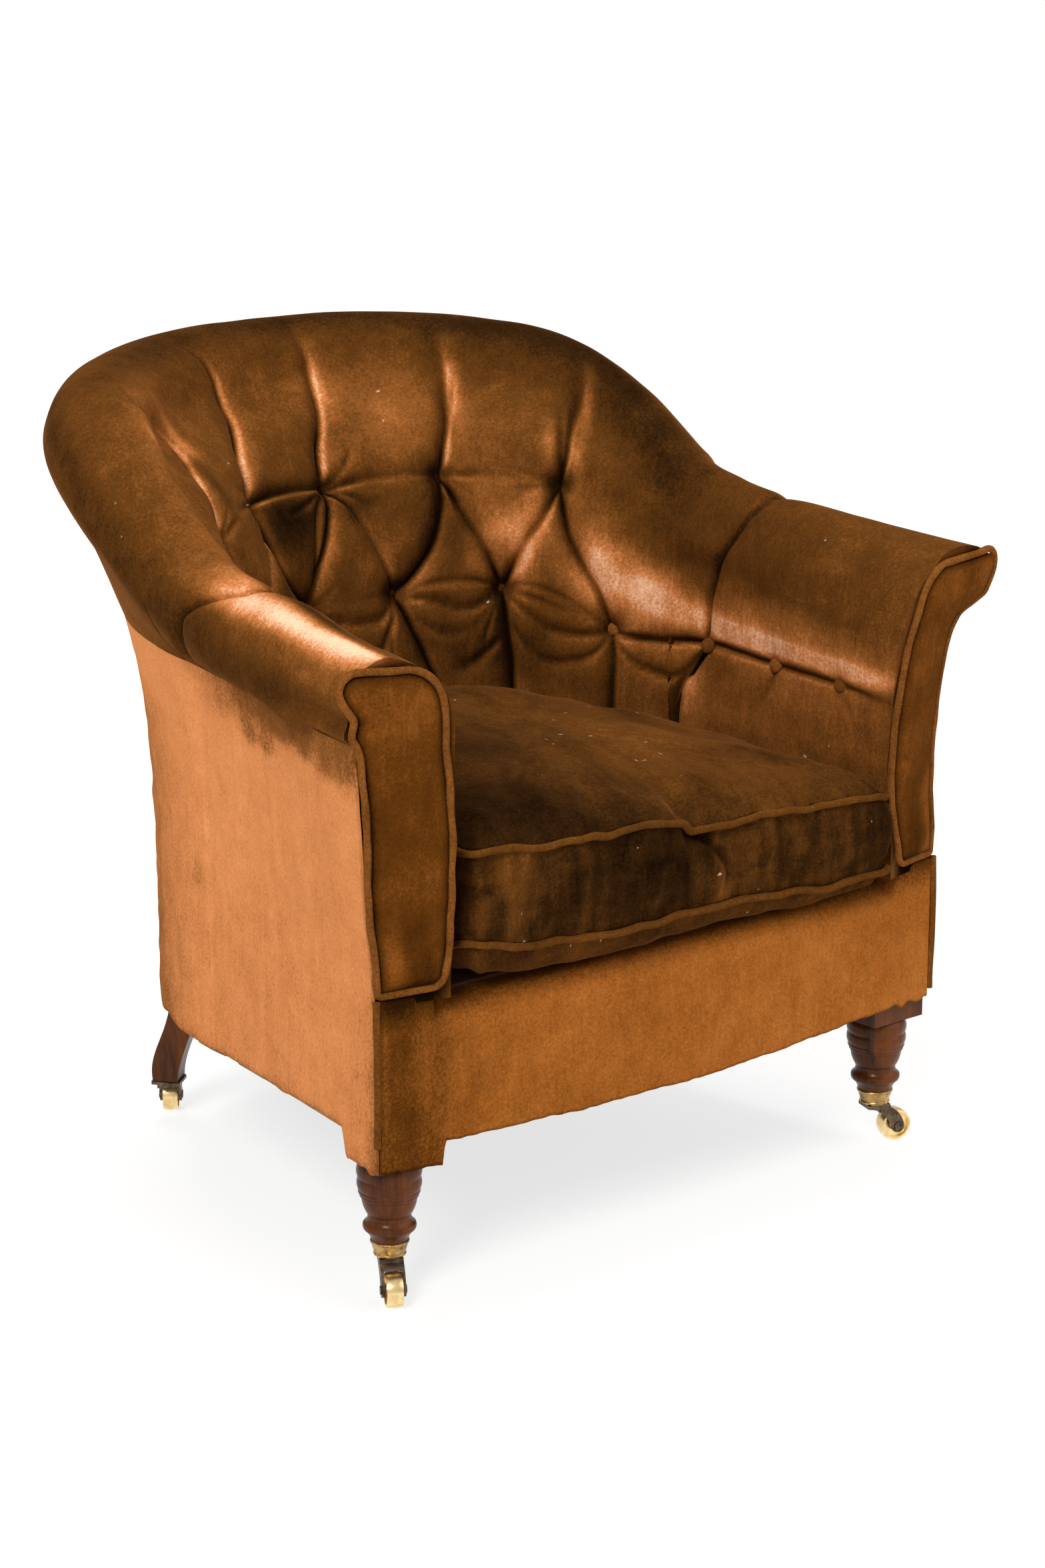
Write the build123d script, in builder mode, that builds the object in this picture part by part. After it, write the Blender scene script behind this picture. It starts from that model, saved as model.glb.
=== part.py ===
from build123d import *
import math
import os

os.makedirs("parts", exist_ok=True)

# A buttoned tub chair on castors, in millimetres. The front faces -Y, the floor is z = 0,
# the chair is symmetric about x = 0, and "left" is the -X side.

# Plan of the tub, at the hem of the outside covers
front_half_width = 350
tub_radius = 306
tub_centre = 300

# Levels above the floor
hem_level = 163
rail_foot = 160
rail_top = 235
deck_foot = 260
deck_top = 292
cushion_seam_level = 318
lower_row_arm_level = 478
lower_row_back_level = 525
bend_arm_level = 540
upper_row_level = 642
arm_neck_level = 540
back_neck_level = 558
arm_roll_level = 565
back_roll_level = 725

# The roll along the top of the arms and back
arm_roll_radius = 52
back_roll_radius = 62
back_roll_reach = 51
arm_neck_reach = 15
back_neck_reach = 29

# Upholstery
pad_depth = 158
tuft_depth = 22
cover_thickness = 4
piping_radius = 3.5
soft_gap = 0.3
frame_gap = 0.5
tuck_depth = 3
least_bulge = 1

# Frame stock
rail_thickness = 28
rail_inset = 4.5
tub_rail_height = 40
tub_rail_back_reach = 13
tub_rail_arm_reach = 2
tub_rail_thickness = 27
leg_block = 64

# Button places round the tub: 0 is the middle of the back, 3.5 the seam between back and
# arm, 6 the front of the arm. Each table has one value for every half place up to 6.5.
fan_degrees = 29.5
arm_place = 3
seam_place = 3.5
front_place = 6
last_place = 6.5
quarter = 0.25
cover_seam_place = 1.3
leg_place = 1.3
turn_degrees = (90, 78.5, 67, 55.5, 44, 32.5, 21, 10, 5, 4, 5, 9, 15.6, 22)
arm_run_shares = (1, 1, 1, 1, 1, 1, 1, 0.838, 0.662, 0.49, 0.34, 0.19, 0, -0.2)
rise_shares = (1, 1, 0.98, 0.94, 0.84, 0.59, 0.27, 0.15, 0.11, 0.085, 0.06, 0.03, 0, -0.02)
reach_shares = (1, 1, 0.98, 0.9, 0.75, 0.39, 0.1, 0, -0.06, -0.1, -0.1, -0.08, -0.06, -0.06)
face_shares = (0.81, 0.8, 0.79, 0.76, 0.67, 0.56, 0.35, 0.28, 0.32, 0.365, 0.4, 0.44, 0.52, 0.56)
foot_shares = (1, 0.98, 0.92, 0.82, 0.65, 0.49, 0.31, 0.25, 0.315, 0.365, 0.405, 0.44, 0.46, 0.48)
bend_shares = (0.57, 0.57, 0.57, 0.55, 0.49, 0.39, 0.27, 0.23, 0.27, 0.32, 0.355, 0.4, 0.48, 0.52)
bend_rise_shares = (0.96, 0.98, 1, 0.96, 0.88, 0.64, 0.31, 0.15, 0.08, 0.05, 0.03, 0.01, 0, 0)
row_rise_shares = (1, 1, 1, 1, 0.64, 0.15, 0.04, 0, 0, 0, 0, 0, 0, 0)
inner_roll_shares = (1, 1, 1, 1, 0.95, 0.8, 0.65, 0.6, 0.75, 0.88, 0.92, 0.98, 1.2, 1.25)
lower_tuft_shares = (1, 1, 1, 0.91, 0.82, 0.73, 0.4, 0.2, 0.2, 0.2, 0.2, 0.2, 0, 0)
upper_tuft_end = 2.4


def along(table, place):
    """Value of a half-place table at any place, on a smooth curve through its entries."""
    spot = min(abs(place), last_place) * 2
    low = min(int(spot), len(table) - 2)
    t = spot - low
    before = table[low - 1] if low > 0 else table[1]
    after = table[min(low + 2, len(table) - 1)]
    start, end = table[low], table[low + 1]
    leave = (end - before) / 2
    arrive = (after - start) / 2
    return ((2 * t**3 - 3 * t**2 + 1) * start + (t**3 - 2 * t**2 + t) * leave
            + (3 * t**2 - 2 * t**3) * end + (t**3 - t**2) * arrive)


def hem_point(place):
    """Plan point of the outside cover's hem, on the +X side."""
    if place <= arm_place:
        angle = math.radians(90 - fan_degrees * place)
        return tub_radius * math.cos(angle), tub_centre + tub_radius * math.sin(angle)
    arm_end = hem_point(arm_place)[1]
    y = arm_end * along(arm_run_shares, place)
    return front_half_width + (tub_radius - front_half_width) * y / tub_centre, y


def outward(place):
    """Unit vector in plan that points out of the tub at a place."""
    turn = math.radians(along(turn_degrees, place))
    side = -1 if place < 0 else 1
    return side * math.cos(turn), math.sin(turn)


def station(place):
    """Upright plane across the tub wall: its x is the distance outside the hem, its y is z."""
    side = -1 if place < 0 else 1
    x, y = hem_point(abs(place))
    out_x, out_y = outward(place)
    return Plane(origin=(side * x, y, 0), x_dir=(out_x, out_y, 0), z_dir=(out_y, -out_x, 0))


def at(place, reach, level):
    """Point in space at a place round the tub."""
    side = -1 if place < 0 else 1
    x, y = hem_point(abs(place))
    out_x, out_y = outward(place)
    return side * x + reach * out_x, y + reach * out_y, level


def places(first, last, step=quarter):
    """Two places and the regular steps between them, none of them too close to an end."""
    least = step / 3
    low = math.ceil((first + least) / step)
    high = math.floor((last - least) / step)
    return [first, *[i * step for i in range(low, high + 1)], last]


# Heights and reaches that follow the tables


def roll_centre(place):
    rise = along(rise_shares, place)
    reach = back_roll_reach * along(reach_shares, place)
    return reach, arm_roll_level + (back_roll_level - arm_roll_level) * rise


def roll_radius(place):
    return arm_roll_radius + (back_roll_radius - arm_roll_radius) * along(rise_shares, place)


def neck(place):
    rise = along(rise_shares, place)
    return (arm_neck_reach + (back_neck_reach - arm_neck_reach) * rise,
            arm_neck_level + (back_neck_level - arm_neck_level) * rise)


def lower_row(place):
    return lower_row_arm_level + (
        lower_row_back_level - lower_row_arm_level) * along(row_rise_shares, place)


def upper_row(place):
    return bend_arm_level + (upper_row_level - bend_arm_level) * along(bend_rise_shares, place)


# Sewn tufts: pleats run down to the upper buttons at whole places, and from the lower
# buttons at half places down to the seat

pleat_sharpness = 1.5
crease_share = 0.3


def upper_pleat(place):
    if abs(place) > upper_tuft_end:
        return 0
    return tuft_depth * (0.5 + 0.5 * math.cos(2 * math.pi * place)) ** pleat_sharpness


def lower_pleat(place):
    depth = tuft_depth * along(lower_tuft_shares, place)
    return depth * (0.5 - 0.5 * math.cos(2 * math.pi * place)) ** pleat_sharpness


def crease(place):
    if abs(place) > upper_tuft_end:
        return 0
    return tuft_depth * crease_share * math.sin(2 * math.pi * place) ** 2


# Shares of the roll's radius that place its arcs, measured from its centre
roll_edge_shares = (0.97, 0.22)
roll_over_shares = (0.74, 0.7)
roll_in_shares = (0.62, 0.74)
roll_foot_share = 0.27
arm_hook_shares = (0.88, 0.42)
back_slope_shares = (0.25, 1.2)
roll_pleat_shares = (0.15, 0.3, 0.45, 0.7)
lobe_bulge = 10
diamond_bulge = 5
seat_bulge = 8
seat_pleat_shares = (0.6, 0.3)


def pad_points(place):
    """Outline of the stuffing across the tub wall, from the neck over the roll to the foot."""
    reach, level = roll_centre(place)
    radius = roll_radius(place)
    rise = max(along(rise_shares, place), 0)
    neck_reach, neck_level = neck(place)
    neck_level += soft_gap
    inner = radius * along(inner_roll_shares, place)
    pleat = upper_pleat(place)
    seam = lower_pleat(place)
    hook_out = arm_hook_shares[0] + (back_slope_shares[0] - arm_hook_shares[0]) * rise
    hook_down = arm_hook_shares[1] + (back_slope_shares[1] - arm_hook_shares[1]) * rise
    row_reach = -pad_depth * along(face_shares, place)
    bend_reach = -pad_depth * along(bend_shares, place)
    foot_reach = -pad_depth * along(foot_shares, place)
    foot_level = deck_top + soft_gap
    bend_level = upper_row(place)
    row_level = lower_row(place)
    tuck = tuck_depth * (1 - rise)
    over = -inner * roll_in_shares[0], radius * roll_in_shares[1]
    top_pleat, in_pleat, edge_pleat, fall_pleat = [pleat * s for s in roll_pleat_shares]
    shoulder = reach - inner + edge_pleat, level + radius * roll_foot_share * (1 - rise)
    bend = bend_reach + pleat, bend_level
    row = row_reach + seam + tuck, row_level
    fall = ((shoulder[0] + bend[0]) / 2 - lobe_bulge * rise - least_bulge + fall_pleat / 2,
            (shoulder[1] + bend[1]) / 2)
    diamond = ((bend_reach + row_reach) / 2 - diamond_bulge * rise - least_bulge
               + crease(place) + (pleat + seam) / 4, (bend_level + row_level) / 2)
    low = ((row_reach + foot_reach) / 2 - seat_bulge * rise - least_bulge
           + seam * seat_pleat_shares[0], (row_level + foot_level) / 2)
    return [
        (neck_reach, neck_level),
        (reach + radius * hook_out, level - radius * hook_down),
        (reach + radius * roll_edge_shares[0], level + radius * roll_edge_shares[1]),
        (reach + radius * roll_over_shares[0], level + radius * roll_over_shares[1]),
        (reach, level + radius - top_pleat),
        (reach + over[0] + in_pleat, level + over[1] - in_pleat),
        shoulder,
        fall,
        bend,
        diamond,
        row,
        low,
        (foot_reach + seam * seat_pleat_shares[1], foot_level),
    ]


def tub_rail_out(place):
    rise = along(rise_shares, place)
    return tub_rail_arm_reach + (tub_rail_back_reach - tub_rail_arm_reach) * rise


def pad_back(place):
    """Hidden side of the stuffing: down the frame's inside and over the tub rail."""
    foot = -rail_inset - rail_thickness - frame_gap, deck_top + soft_gap
    shelf = tub_rail_out(place) - tub_rail_thickness - frame_gap, neck(place)[1] + soft_gap
    return [foot, shelf]


def pad(first, last):
    with BuildPart() as stuffing:
        for place in places(first, last):
            points = pad_points(place)
            with BuildSketch(station(place)):
                with BuildLine():
                    for i in range(0, len(points) - 1, 2):
                        ThreePointArc(points[i], points[i + 1], points[i + 2])
                    Polyline(points[-1], *pad_back(place), points[0])
                make_face()
        loft()
    return stuffing.part


def wall(first, last, corners, step=quarter):
    """A member that follows the tub between two places, with four corners across the wall."""
    with BuildPart() as member:
        for place in places(first, last, step):
            with BuildSketch(station(place)):
                with BuildLine():
                    Polyline(*corners(place), close=True)
                make_face()
        loft()
    return member.part


def mirrored(piece):
    return mirror(piece, about=Plane.YZ)


def keep(piece, name):
    piece.label = name
    export_step(piece, f"parts/{name}.step")


# Facing plane at the front of each arm: turned outward and leaning forward at the top

facing_lean_degrees = 5
facing_foot = 301
facing_top = 611
facing_thickness = 14
facing_board_inset = 4
facing_corner_radius = 18
overrun = 120


def facing_plane(depth):
    """Leaning plane of the right arm's facing, a depth behind its front."""
    out_x, out_y = outward(front_place)
    lean = math.radians(facing_lean_degrees)
    ahead_x, ahead_y = out_y, -out_x
    back = facing_foot * math.tan(lean) + depth / math.cos(lean)
    return Plane(
        origin=(front_half_width - ahead_x * back, -ahead_y * back, 0),
        x_dir=(out_x, out_y, 0),
        z_dir=(ahead_x * math.cos(lean), ahead_y * math.cos(lean), -math.sin(lean)),
    )


def front_cutter(depth_above, depth_below):
    """Everything in front of the facing's back, and of the front corner below it."""
    out_x, out_y = outward(front_place)
    lean = math.tan(math.radians(facing_lean_degrees))
    side_on = Plane(origin=(front_half_width, 0, 0), x_dir=(out_y, -out_x, 0),
                    z_dir=(-out_x, -out_y, 0))
    high = facing_top + overrun
    with BuildPart() as cutter:
        with BuildSketch(side_on):
            with BuildLine():
                Polyline((-depth_below, 0), (overrun, 0), (overrun, facing_foot),
                         (-depth_below, facing_foot), close=True)
            make_face()
            with BuildLine():
                Polyline((-depth_above, facing_foot), (overrun, facing_foot), (overrun, high),
                         (-depth_above + lean * (high - facing_foot), high), close=True)
            make_face()
        extrude(amount=overrun, both=True)
    return cutter.part


# Outside covers

flare_start_share = 0.34
flare_mid_share = 0.76
flare_mid_reach_share = 0.3


def cover_points(place, inset):
    """One face of an outside cover: up from the hem, then flaring out to the neck."""
    neck_reach, neck_level = neck(place)
    rise = neck_level - hem_level
    return [
        (-inset, hem_level),
        (-inset, hem_level + rise * flare_start_share),
        (neck_reach * flare_mid_reach_share - inset, hem_level + rise * flare_mid_share),
        (neck_reach - inset, neck_level),
    ]


def cover(first, last):
    with BuildPart() as skin:
        for place in places(first, last):
            outer = cover_points(place, 0)
            inner = cover_points(place, cover_thickness)
            with BuildSketch(station(place)):
                with BuildLine():
                    Line(outer[0], outer[1])
                    ThreePointArc(outer[1], outer[2], outer[3])
                    Line(outer[3], inner[3])
                    ThreePointArc(inner[3], inner[2], inner[1])
                    Line(inner[1], inner[0])
                    Line(inner[0], outer[0])
                make_face()
        loft()
    return skin.part


corner_gap = 4
outside_arm_cover_right = cover(cover_seam_place, last_place) - front_cutter(
    facing_thickness, corner_gap)
keep(outside_arm_cover_right, "outside_arm_cover_right")
keep(mirrored(outside_arm_cover_right), "outside_arm_cover_left")
keep(cover(-cover_seam_place, cover_seam_place), "outside_back_cover")

# Rear legs: raked sabre legs that carry on as uprights up to the crest rail

rear_leg_foot = 41.8
rear_leg_stations = (
    (rear_leg_foot, 7.5, 26, 26),
    (100, -8, 29, 29),
    (rail_foot, -19.7, 28, 34),
    (rail_top, -19.7, 28, 34),
    (320, -18.9, 25, 34),
    (400, -15.4, 23, 34),
    (463, -10.6, 23, 34),
    (545, 2, 25, 34),
    (620, 24, 24, 32),
    (705, 49, 24, 30),
)
recess_radius = 7
rear_recess_depth = 2.7
joint_overrun = 14
leg_turn = math.radians(90 - fan_degrees * leg_place)


def rear_leg(radial_gap=0, side_gap=0):
    """The right rear leg, or the room that it needs with a gap round it."""
    with BuildPart() as leg:
        for level, reach, radial, around in rear_leg_stations:
            with BuildSketch(Plane(
                origin=at(leg_place, reach, level),
                x_dir=(math.cos(leg_turn), math.sin(leg_turn), 0),
                z_dir=(0, 0, 1),
            )):
                Rectangle(radial + 2 * radial_gap, around + 2 * side_gap)
        loft()
        with BuildSketch(Plane(at(leg_place, rear_leg_stations[0][1], rear_leg_foot))):
            Circle(recess_radius)
        extrude(amount=rear_recess_depth, mode=Mode.SUBTRACT)
    return leg.part


rear_joint = rear_leg(joint_overrun)

# Frame members that follow the tub

post_front_place = 5.8
post_rear_place = 5.42
arm_rail_end_place = 5.95
leg_joint_place = 0.04
side_rail_end_place = 5.7
rail_in = -rail_inset - rail_thickness
past_leg = leg_place + leg_joint_place
short_of_leg = leg_place - leg_joint_place


def seat_rail_corners(place):
    return [(rail_in, rail_foot), (-rail_inset, rail_foot),
            (-rail_inset, rail_top), (rail_in, rail_top)]


def stuffing_rail_corners(place):
    return [(rail_in, deck_foot), (-rail_inset, deck_foot),
            (-rail_inset, deck_top), (rail_in, deck_top)]


def tub_rail_levels(place):
    top = neck(place)[1] - soft_gap
    return top - tub_rail_height, top


def tub_rail_corners(place):
    out = tub_rail_out(place)
    low, high = tub_rail_levels(place)
    inner = out - tub_rail_thickness
    return [(inner, low), (out, low), (out, high), (inner, high)]


def arm_post_corners(place):
    high = tub_rail_levels(place)[0]
    inner = tub_rail_out(place) - tub_rail_thickness
    outer = -rail_inset - frame_gap
    return [(rail_in, rail_top), (outer, rail_top), (outer, high), (inner, high)]


crest_drop = 33
crest_lift = 3
crest_inset = 6
crest_sweep_drop = 18.2
crest_end_place = 3.4
crest_gap = 1.2


def crest_corners(place, gap=0):
    """The crest rail runs inside the roll and sweeps down to the arm rails at its ends."""
    reach, level = roll_centre(place)
    rise = along(rise_shares, place)
    middle = reach - crest_inset
    low = level - crest_drop - crest_sweep_drop * (1 - rise) - gap
    high = level + crest_lift + gap
    half = rail_thickness / 2 + gap
    return [(middle - half, low), (middle + half, low), (middle + half, high),
            (middle - half, high)]


def crest_space(place):
    return crest_corners(place, crest_gap)


crest_rail = wall(-crest_end_place, crest_end_place, crest_corners)
keep(crest_rail, "crest_rail")
rear_leg_right = rear_leg() - crest_rail
keep(rear_leg_right, "rear_leg_right")
keep(mirrored(rear_leg_right), "rear_leg_left")


# Front legs: a block that joins the rails, and a turned shank that ends in a peg

leg_axis_inset = 40
leg_axis_x = front_half_width - leg_axis_inset
leg_axis_y = 34
leg_block_depth = 58
leg_block_foot = 134
cup_rim = 57.5
cup_floor = 47
peg_top_radius = 14
peg_radius = 12
recess_depth = 3
leg_head_radius = 26
leg_turnings = (
    ((30, 125), (28.5, 118)),
    ((29.7, 112), (28, 106)),
    ((28.4, 104), (27, 102)),
    ((27.2, 100.5), (25.6, 99)),
    ((23.5, 89), (20, 82)),
    ((20.6, 77.5), (24, 73.5)),
    ((24.6, 70.5), (23.4, 67.5)),
    ((19, 62.5), (17, cup_rim)),
)
splay = (front_half_width - tub_radius) / tub_centre
block_front = leg_axis_y - leg_block_depth / 2
block_back = leg_axis_y + leg_block_depth / 2
block_inner = leg_axis_x - leg_block / 2


def block_side(y):
    """Outer face of a front leg's block, which follows the splay of the side."""
    return front_half_width - cover_thickness - frame_gap - splay * y


with BuildPart() as front_leg:
    with BuildSketch(Plane.XY.offset(leg_block_foot)):
        with BuildLine():
            Polyline(
                (block_inner, block_front),
                (block_side(block_front), block_front),
                (block_side(block_back), block_back),
                (block_inner, block_back),
                close=True,
            )
        make_face()
    extrude(amount=rail_top - leg_block_foot)
    with BuildSketch(Plane(origin=(leg_axis_x, leg_axis_y, 0), x_dir=(1, 0, 0), z_dir=(0, -1, 0))):
        with BuildLine():
            edge = Line((0, leg_block_foot), (leg_head_radius, leg_block_foot))
            for middle, end in leg_turnings:
                edge = ThreePointArc(edge @ 1, middle, end)
            Polyline(edge @ 1, (peg_top_radius, cup_rim), (peg_radius, cup_floor),
                     (0, cup_floor), (0, leg_block_foot))
        make_face()
    revolve(axis=Axis((leg_axis_x, leg_axis_y, 0), (0, 0, 1)))
    with BuildSketch(Plane((leg_axis_x, leg_axis_y, cup_floor))):
        Circle(recess_radius)
    extrude(amount=recess_depth, mode=Mode.SUBTRACT)
front_leg_right = front_leg.part
keep(front_leg_right, "front_leg_right")
keep(mirrored(front_leg_right), "front_leg_left")

with BuildPart() as leg_block_space:
    with Locations((leg_axis_x, block_back, rail_top / 2)):
        Box(2 * leg_block, 2 * leg_block_depth, 2 * rail_top, align=(Align.CENTER, Align.MAX,
                                                                   Align.CENTER))

side_seat_rail_right = wall(
    past_leg, side_rail_end_place, seat_rail_corners) - leg_block_space.part - rear_joint
keep(side_seat_rail_right, "side_seat_rail_right")
keep(mirrored(side_seat_rail_right), "side_seat_rail_left")
arm_post_right = wall(post_rear_place, post_front_place, arm_post_corners)
keep(arm_post_right, "arm_post_right")
keep(mirrored(arm_post_right), "arm_post_left")
arm_rail_right = wall(past_leg, arm_rail_end_place, tub_rail_corners) - rear_joint
keep(arm_rail_right, "arm_rail_right")
keep(mirrored(arm_rail_right), "arm_rail_left")
stuffing_rail_right = wall(past_leg, post_rear_place, stuffing_rail_corners) - rear_joint
keep(stuffing_rail_right, "stuffing_rail_right")
keep(mirrored(stuffing_rail_right), "stuffing_rail_left")


def back_member(corners):
    """A member across the back, let in between the two rear legs."""
    return wall(-short_of_leg, short_of_leg, corners) - rear_joint - mirrored(rear_joint)


keep(back_member(tub_rail_corners), "back_tub_rail")
keep(back_member(stuffing_rail_corners), "stuffing_rail_back")
keep(back_member(seat_rail_corners), "back_seat_rail")

# Front of the seat: the bowed rail with its corner blocks, and the upholstered border

front_bow = 17
border_thickness = 5
front_rail_back = 28
corner_block_height = 45
corner_block_length = 38
corner_block_width = 34
block_joint = 0.2


def front_face(x):
    """The front of the border at a distance from the middle of the chair."""
    return -front_bow * (1 - (x / front_half_width) ** 2)


def rail_face(x):
    return front_face(x) + border_thickness + frame_gap


with BuildPart() as front_rail:
    with BuildSketch(Plane.XY.offset(rail_foot)):
        with BuildLine():
            ThreePointArc((-block_inner, rail_face(block_inner)), (0, rail_face(0)),
                          (block_inner, rail_face(block_inner)))
            Polyline(
                (block_inner, rail_face(block_inner)),
                (block_inner, front_rail_back),
                (-block_inner, front_rail_back),
                (-block_inner, rail_face(block_inner)),
            )
        make_face()
    extrude(amount=rail_top - rail_foot)
keep(front_rail.part, "front_seat_rail")

with BuildPart() as corner_blocks:
    with BuildSketch(Plane.XY.offset((rail_foot + rail_top - corner_block_height) / 2)):
        with BuildLine():
            corner = block_inner - block_joint, front_rail_back + block_joint
            Polyline(
                corner,
                (corner[0], corner[1] + corner_block_width),
                (corner[0] - corner_block_length, corner[1]),
                close=True,
            )
        make_face()
        mirror(about=Plane.YZ)
    extrude(amount=corner_block_height)
keep(corner_blocks.part, "corner_blocks")

border_hem_level = 150
border_hem_rise = 11
border_roll_inset = 62
border_roll_half = front_half_width - border_roll_inset
border_roll_level = 284
border_roll_front_level = 256
border_roll_back = 24.5
border_roll_round = 26
border_round_share = 0.3
corner_piping_inset = 1
border_end = front_half_width - corner_piping_inset - piping_radius - soft_gap
border_top = 299


def border_hem(x):
    return border_hem_level + border_hem_rise * (x / front_half_width) ** 2


def upright_plane(x):
    """Plane across the chair's front; its x is the chair's y, its y is z."""
    return Plane(origin=(x, 0, 0), x_dir=(0, 1, 0), z_dir=(1, 0, 0))


def spread(first, last, count):
    return [first + (last - first) * i / count for i in range(count + 1)]


with BuildPart() as border:
    for x in spread(-border_roll_half, border_roll_half, 6):
        front = front_face(x)
        with BuildSketch(upright_plane(x)):
            with BuildLine():
                Polyline(
                    (border_roll_back, border_roll_level),
                    (border_roll_back, rail_top + soft_gap),
                    (front + border_thickness, rail_top + soft_gap),
                    (front + border_thickness, border_hem(x)),
                    (front, border_hem(x)),
                    (front, border_roll_front_level),
                )
                ThreePointArc(
                    (front, border_roll_front_level),
                    (front + border_roll_round * border_round_share,
                     border_roll_level - border_roll_round * border_round_share),
                    (front + border_roll_round, border_roll_level),
                )
                Line((front + border_roll_round, border_roll_level),
                     (border_roll_back, border_roll_level))
            make_face()
    loft()
    for x in spread(border_roll_half, border_end, 2):
        front = front_face(x)
        with BuildSketch(upright_plane(x)):
            with BuildLine():
                Polyline(
                    (front, border_hem(x)),
                    (front, border_top),
                    (front + border_thickness, border_top),
                    (front + border_thickness, border_hem(x)),
                    close=True,
                )
            make_face()
    loft()
    mirror(about=Plane.YZ)
keep(border.part, "front_border")

# Facings on the fronts of the arms: a board, its cover and piping round the edge

facing_outline_arcs = (
    (8, 525), (24, 551), (50, 582), (33, 610), (-25, 610), (-69, 575), (-86, 460), (-73, 325))
facing_rise_level = 430
facing_inner_foot = (-70, 304)
facing_outer_radius = 6
facing_skin = 7
facing_front = 1


def facing_shape(inset):
    """The facing's outline in its own plane, drawn in by an inset."""
    with BuildSketch() as shape:
        with BuildLine():
            edge = Line((0, facing_foot), (0, facing_rise_level))
            for point in facing_outline_arcs:
                if point[1] == facing_outline_arcs[3][1] and point[0] < 0:
                    edge = Line(edge @ 1, point)
                else:
                    edge = TangentArc(edge @ 1, point, tangent=edge % 1)
            Polyline(edge @ 1, facing_inner_foot, (0, facing_foot))
        make_face()
        fillet(shape.vertices().sort_by_distance(facing_inner_foot + (0,))[0],
               facing_corner_radius)
        fillet(shape.vertices().sort_by_distance((0, facing_foot, 0))[0], facing_outer_radius)
        if inset:
            offset(amount=-inset)
    return shape.sketch.face()


def facing_layer(inset, front, thickness):
    with BuildPart() as layer:
        with BuildSketch(facing_plane(-front)):
            add(facing_shape(inset))
        extrude(amount=-thickness)
    return layer.part


facing_board_right = facing_layer(
    facing_board_inset, -2 * piping_radius - soft_gap,
    facing_thickness - 2 * piping_radius - 2 * soft_gap)
keep(facing_board_right, "facing_board_right")
keep(mirrored(facing_board_right), "facing_board_left")
facing_cover_right = facing_layer(2 * piping_radius + soft_gap, facing_front, facing_skin)
keep(facing_cover_right, "facing_cover_right")
keep(mirrored(facing_cover_right), "facing_cover_left")


def piping(edge):
    """Round piping along a closed flat outline."""
    with BuildPart() as cord:
        with BuildSketch(Plane(origin=edge @ 0, z_dir=edge % 0)):
            Circle(piping_radius)
        sweep(path=edge, transition=Transition.ROUND)
    return cord.part


facing_piping_right = facing_plane(piping_radius).location * piping(
    facing_shape(piping_radius).outer_wire())
keep(facing_piping_right, "facing_piping_right")
keep(mirrored(facing_piping_right), "facing_piping_left")

with BuildPart() as corner_piping:
    with BuildSketch(Plane((front_half_width - corner_piping_inset, 0, hem_level))):
        Circle(piping_radius)
    extrude(amount=border_top - hem_level)
keep(corner_piping.part, "corner_piping_right")
keep(mirrored(corner_piping.part), "corner_piping_left")

# Inside pads, hollowed for the crest rail and the uprights, with a pocket for every button

pad_corner_depth = 26
button_radius = 9
button_edge = 3
button_crown = 3
button_sink = 2
pocket_radius = 9.7
pocket_reach = 40
button_tilt_degrees = 12
upper_button_places = (-2, -1, 0, 1, 2)
lower_button_places = [side * (half + 0.5) for side in (-1, 1) for half in range(6)]


def button_plane(place, reach, level):
    """Plane of a button's back, whose normal looks into the seat and a little up."""
    out_x, out_y = outward(place)
    tilt = math.radians(button_tilt_degrees)
    normal = (-out_x * math.cos(tilt), -out_y * math.cos(tilt), math.sin(tilt))
    x, y, z = at(place, reach, level)
    return Plane(origin=(x - normal[0] * button_sink, y - normal[1] * button_sink,
                         z - normal[2] * button_sink), z_dir=normal)


def button_planes():
    planes = []
    for place in upper_button_places:
        reach = -pad_depth * along(bend_shares, place) + upper_pleat(place)
        planes.append(button_plane(place, reach, upper_row(place)))
    for place in lower_button_places:
        tuck = tuck_depth * (1 - max(along(rise_shares, place), 0))
        reach = -pad_depth * along(face_shares, place) + lower_pleat(place) + tuck
        planes.append(button_plane(place, reach, lower_row(place)))
    return planes


with BuildPart() as buttons:
    for plane in button_planes():
        with BuildSketch(plane):
            Circle(button_radius)
        extrude(amount=button_edge)
        with BuildSketch(Plane(origin=plane.from_local_coords((0, 0, button_edge)),
                               x_dir=plane.x_dir, z_dir=-plane.y_dir)):
            with BuildLine():
                Line((0, 0), (button_radius, 0))
                ThreePointArc((button_radius, 0), (button_radius * 0.55, button_crown * 0.8),
                              (0, button_crown))
                Line((0, button_crown), (0, 0))
            make_face()
        revolve(axis=Axis(plane.origin, plane.z_dir))
keep(buttons.part, "tuft_buttons")

with BuildPart() as pockets:
    for plane in button_planes():
        with BuildSketch(plane.offset(-soft_gap)):
            Circle(pocket_radius)
        extrude(amount=pocket_reach)

upright_space = rear_leg(frame_gap, frame_gap)
arm_pad_right = pad(seam_place, last_place) - front_cutter(
    facing_thickness, pad_corner_depth) - pockets.part
keep(arm_pad_right, "arm_pad_right")
keep(mirrored(arm_pad_right), "arm_pad_left")
back_stuffing = pad(-seam_place, seam_place) - wall(
    -crest_end_place, crest_end_place, crest_space) - upright_space - mirrored(upright_space) - pockets.part
keep(back_stuffing, "back_pad")

# Under the seat: webbing, springs, their canvas, the deck and the dust cloth

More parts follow.
